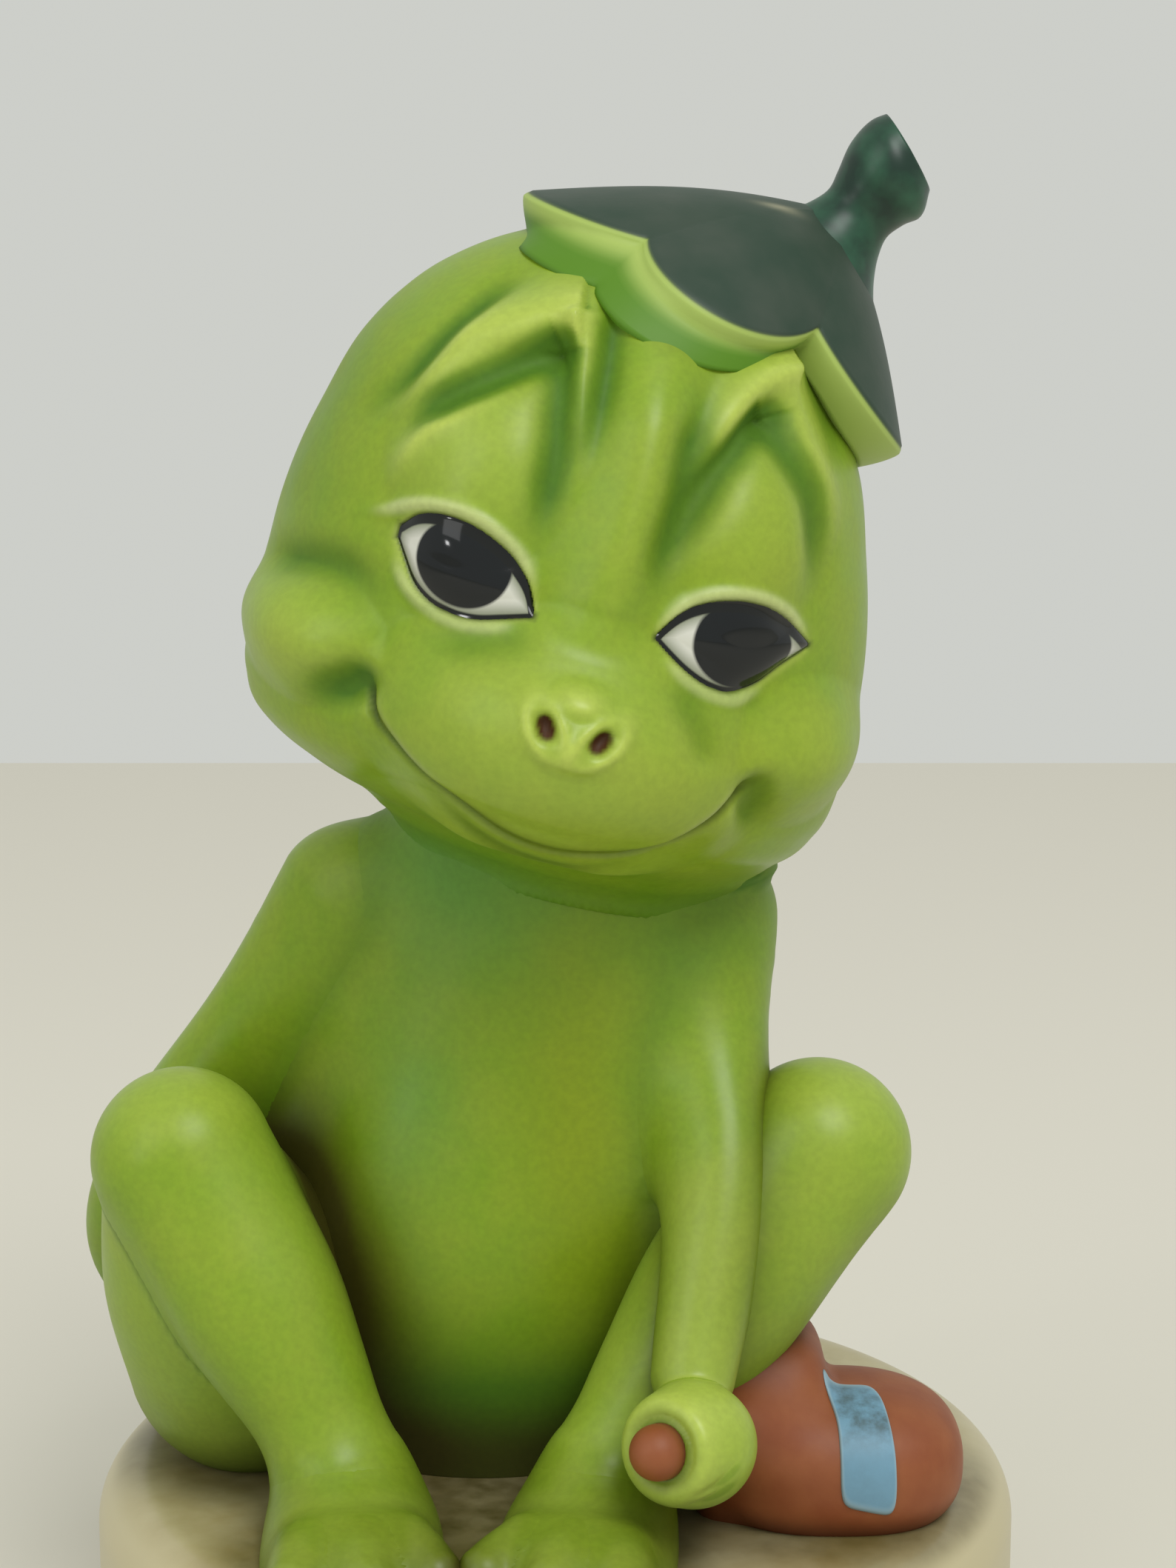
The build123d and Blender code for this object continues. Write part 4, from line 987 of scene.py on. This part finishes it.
# Stalk: a round profile carried up a short path, flared where it leaves the leaf, swollen above, its end cut on a
# slope and crowned a little
stem = {"aside": 1.2, "heights": (-5.2, -3.0, -0.9, 0.9, 2.6, 4.8, 6.6, 8.0),
        "radii": (7.0, 5.2, 4.0, 3.5, 3.9, 4.65, 4.5, 3.8), "slope": 20.0, "slopeFrom": 2.0, "crown": 0.4,
        "rings": 70, "endRings": 16, "around": 96}
foot, end = stem["heights"][0], stem["heights"][-1]
height = np.concatenate([np.linspace(foot, end, stem["rings"]), np.full(stem["endRings"], end)])[:, None]
shrink = np.concatenate([np.ones(stem["rings"]), np.cos(np.linspace(0.08, 1.55, stem["endRings"]))])[:, None]
radius = through(stem["heights"], stem["radii"], height[:, 0])[:, None] * shrink
turn = fullTurn(stem["around"])
x, y = radius * np.cos(turn), radius * np.sin(turn)
tilt = math.tan(math.radians(stem["slope"])) * ease(stem["slopeFrom"], end, height)
z = height - tilt * x + stem["crown"] * (1 - shrink)
points = capToRow(np.stack([x + stem["aside"], y, z], -1))
ringMesh("capStalkClay", [{"points": points}], stalk, "cap_stem")
print("cap ready")

# Sack: a ball with squared sides joined to a smaller one that leans on the shin and to a mouth that tapers to the
# neck, as a reach in each direction from its middle; a squared ball is where |x/a|^n + |y/b|^n + |z/c|^n is 1, with
# its own lower height
sack = {"middle": np.array([26.5, -13.0, 28.5]), "radii": np.array([12.2, 10.3, 7.4]), "under": 7.0, "square": 2.5,
        "foldMiddle": np.array([19.4, -10.5, 30.5]), "foldRadii": np.array([6.6, 8.5, 10.2]), "foldSquare": 4.0,
        "foldBlend": 1.2, "mouth": {"path": [(20.5, -15.5, 31.5), (15.0, -24.0, 35.0)], "radii": (5.0, 2.8)},
        "mouthBlend": 4.0, "farthest": 30.0, "inHollow": (1.0, 0.02, 0.3), "byBase": (0.6, 3, 0),
        "close": (0.7, 1.5), "neckClose": (0.8, 0.5)}


def squaredDistance(p, middle, radii, under, square):
    q = np.abs(p - middle) / radii
    q[..., 2] = np.where(p[..., 2] < middle[2], (middle[2] - p[..., 2]) / under, q[..., 2])
    return (np.sum(q ** square, -1) ** (1 / square) - 1) * min(radii)


def sackDistance(p):
    bulk = squaredDistance(p, sack["middle"], sack["radii"], sack["under"], sack["square"])
    fold = squaredDistance(p, sack["foldMiddle"], sack["foldRadii"], sack["foldRadii"][2], sack["foldSquare"])
    return roundedMin(roundedMin(bulk, fold, sack["foldBlend"]), limbDistance(sack["mouth"], p), sack["mouthBlend"])


# where the sack's skin lies in a direction from its middle, by halving the stretch that holds it
def sackReach(direction, halvings=24):
    low, high = np.zeros(direction.shape[:-1]), np.full(direction.shape[:-1], sack["farthest"])
    for step in range(halvings):
        middle = (low + high) / 2
        outside = sackDistance(sack["middle"] + middle[..., None] * direction) > 0
        low, high = np.where(outside, low, middle), np.where(outside, middle, high)
    return (low + high) / 2


direction = directions(*grids["sack"])
points = sack["middle"] + sackReach(direction)[..., None] * direction
points[..., 2] = np.maximum(points[..., 2], seatLevel - bedded)
# painted shade in the sack's hollows, towards the base and next to the shin, arm, fist and thigh
gap = np.minimum.reduce([forms[name](points) for name in ("leftShin", "leftArm", "fist", "leftThigh")])
crease = growing(sack["inHollow"], hollow(points, 8)) + growing(sack["byBase"], points[..., 2] - seatLevel)
crease = np.clip(crease + nearness(sack["close"], gap), 0, 1)
ringMesh("sackClay", [{"points": points, "marks": {"crease": crease}}], sackClay, "sack")

# Sack's neck: gathered cloth along a straight path through the fist, rounded at its end
points = limbRings(neck, *grids["neck"])
# painted shade where the neck goes into the fist
marks = {"crease": nearness(sack["neckClose"], forms["fist"](points))}
ringMesh("sackNeckClay", [{"points": points, "marks": marks}], sackClay, "sack_neck")

# Patch: a rounded strip carried along a bowed line over the sack, a little proud of it, closed underneath
patch = {"line": ((27.5, -14.7, 36.7), (28.7, -20.7, 35.4), (29.0, -23.2, 31.9), (29.0, -23.4, 27.0)), "width": 5.5,
         "sideways": np.array([1.0, 0.15, -0.25]), "thick": 0.35, "sunk": 0.6, "square": 7, "rings": 30,
         "underRings": 12}
ring = np.concatenate([np.linspace(0.03, 1, patch["rings"]), np.linspace(1, 0.03, patch["underRings"])])[:, None]
turn = fullTurn(160)
square = (np.abs(np.cos(turn)) ** patch["square"] + np.abs(np.sin(turn)) ** patch["square"]) ** (-1 / patch["square"])
across, along = ring * square * np.cos(turn) * patch["width"] / 2, 0.5 + 0.5 * ring * square * np.sin(turn)
line = through(np.linspace(0, 1, len(patch["line"])), patch["line"], along)
direction = unit(line + across[..., None] * unit(patch["sideways"]) - sack["middle"])
edge = [0.8 * patch["thick"], 0.1]  # rounded off in two rings
proud = np.concatenate([np.full(patch["rings"] - len(edge), patch["thick"]), edge,
                        np.full(patch["underRings"], -patch["sunk"])])[:, None]
points = sack["middle"] + (sackReach(direction) + proud)[..., None] * direction
marks = {"edge": ease(0.86, 0.97, ring) + 0 * across, "rub": 0.15 + 0.85 * ease(0.65, 0.35, along)}
ringMesh("sackPatchClay", [{"points": points, "marks": marks}], patchClay, "sack_patch")
print("sack ready")

# Base: a drum turned about its axis, with a soft rim; its outline is radius and height from under its middle, round
# the foot, up the wall, round the rim and in over the top
base = {"radius": 45.0, "rim": 5.0, "foot": 1.2, "gap": 0.5, "shadeHeight": 1.5, "close": (0.7, 7.0, 0.0),
        "shadowAndStain": (0.8, -6, -20, 10, 14), "top": (1.0, seatLevel - 2.0, seatLevel - 0.3), "wornRim": (0.5, 36, 44)}
corner = np.radians(np.linspace(0, 90, 20))
wallFoot, wallTop = base["radius"] - base["foot"], base["radius"] - base["rim"]
outline = np.concatenate([np.stack(part, -1) for part in (
    (np.linspace(1, wallFoot, 20), np.zeros(20)),
    (wallFoot + base["foot"] * np.sin(corner), base["foot"] * (1 - np.cos(corner))),
    (np.full(30, base["radius"]), np.linspace(base["foot"] + base["gap"], seatLevel - base["rim"] - base["gap"], 30)),
    (wallTop + base["rim"] * np.cos(corner), seatLevel - base["rim"] * (1 - np.sin(corner))),
    (np.linspace(wallTop - base["gap"], 1, 60), np.full(60, seatLevel)))])
turn = fullTurn(240)
x, y = outline[:, :1] * np.cos(turn), outline[:, :1] * np.sin(turn)
points = np.stack([x, y, outline[:, 1:] + 0 * turn], -1)
topSide = growing(base["top"], points[..., 2])
# painted shadow on the top, partly real staining: darker within a few millimetres of what stands on it and in a spot
# under the belly
onTop = np.stack([x, y, 0 * x + seatLevel + base["shadeHeight"]], -1)
nearest = np.minimum.reduce([forms[name](onTop) for name in forms if name != "head"] + [sackDistance(onTop)])
shadowAndStain = growing(base["close"], nearest) + spot(base["shadowAndStain"], x, y)
marks = {"wash": topSide * (1 - growing(base["wornRim"], np.hypot(x, y))), "crease": topSide * np.clip(shadowAndStain, 0, 0.95)}
ringMesh("stumpBaseClay", [{"points": points, "marks": marks}], baseClay, "stump_base")
print("base ready")

# Floor: one plain sheet that ends behind the figure, where the pale room begins
stage = {"back": 0.515, "front": -1.6, "wide": 3.0, "floor": "#DEDACE", "room": "#F0F2EC", "roomLight": 0.7}  # metres
wide, front, back = stage["wide"], stage["front"], stage["back"]
corners = [(-wide, front, 0), (wide, front, 0), (wide, back, 0), (-wide, back, 0)]
mesh = bpy.data.meshes.new("floor")
mesh.from_pydata(corners, [], [(0, 1, 2, 3)])
floor = bpy.data.objects.new("floor", mesh)
bpy.context.scene.collection.objects.link(floor)
paper, tree = newMaterial("plain paper")
shader = put(tree, "ShaderNodeBsdfPrincipled", Base_Color=linear(stage["floor"]), Roughness=0.9)
put(tree, "ShaderNodeOutputMaterial", Surface=(shader, 0))
mesh.materials.append(paper)

# Soft studio light: a broad key from above in front, a weak fill from the left, a small far window and a pale room
lamps = {"key": {"place": (0.3, -0.6, 0.95), "size": 0.5, "power": 5.6},
         "fill": {"place": (-0.6, -0.6, 0.7), "size": 0.5, "power": 1.2},
         "window": {"place": (-0.75, -0.6, 0.3), "size": 0.08, "power": 0.4}}
lampsAim = np.array([0, 0, 0.08])
for name, lamp in lamps.items():
    data = bpy.data.lights.new(name, "AREA")
    data.size, data.energy = lamp["size"], lamp["power"]
    light = bpy.data.objects.new(name, data)
    light.location = lamp["place"]
    aim = lampsAim - np.array(lamp["place"])
    light.rotation_euler = (math.acos(-aim[2] / np.linalg.norm(aim)), 0, math.atan2(aim[0], -aim[1]) + math.pi)
    bpy.context.scene.collection.objects.link(light)
world = bpy.data.worlds.new("pale room")
world.use_nodes = True
world.node_tree.nodes["Background"].inputs[0].default_value = linear(stage["room"])
world.node_tree.nodes["Background"].inputs[1].default_value = stage["roomLight"]
bpy.context.scene.world = world

# Camera where the photograph was taken from; the half angle is across the picture's longer side
view = {"place": (0.0032, -0.295, 0.146), "pitch": 79.4, "halfAngle": 14.0, "sensor": 36.0}
lens = bpy.data.cameras.new("camera")
lens.sensor_width, lens.lens = view["sensor"], view["sensor"] / 2 / math.tan(math.radians(view["halfAngle"]))
camera = bpy.data.objects.new("camera", lens)
camera.location = view["place"]
camera.rotation_euler = (math.radians(view["pitch"]), 0, 0)
bpy.context.scene.collection.objects.link(camera)
bpy.context.scene.camera = camera
bpy.context.scene.view_settings.view_transform = "Standard"

print("scene ready")
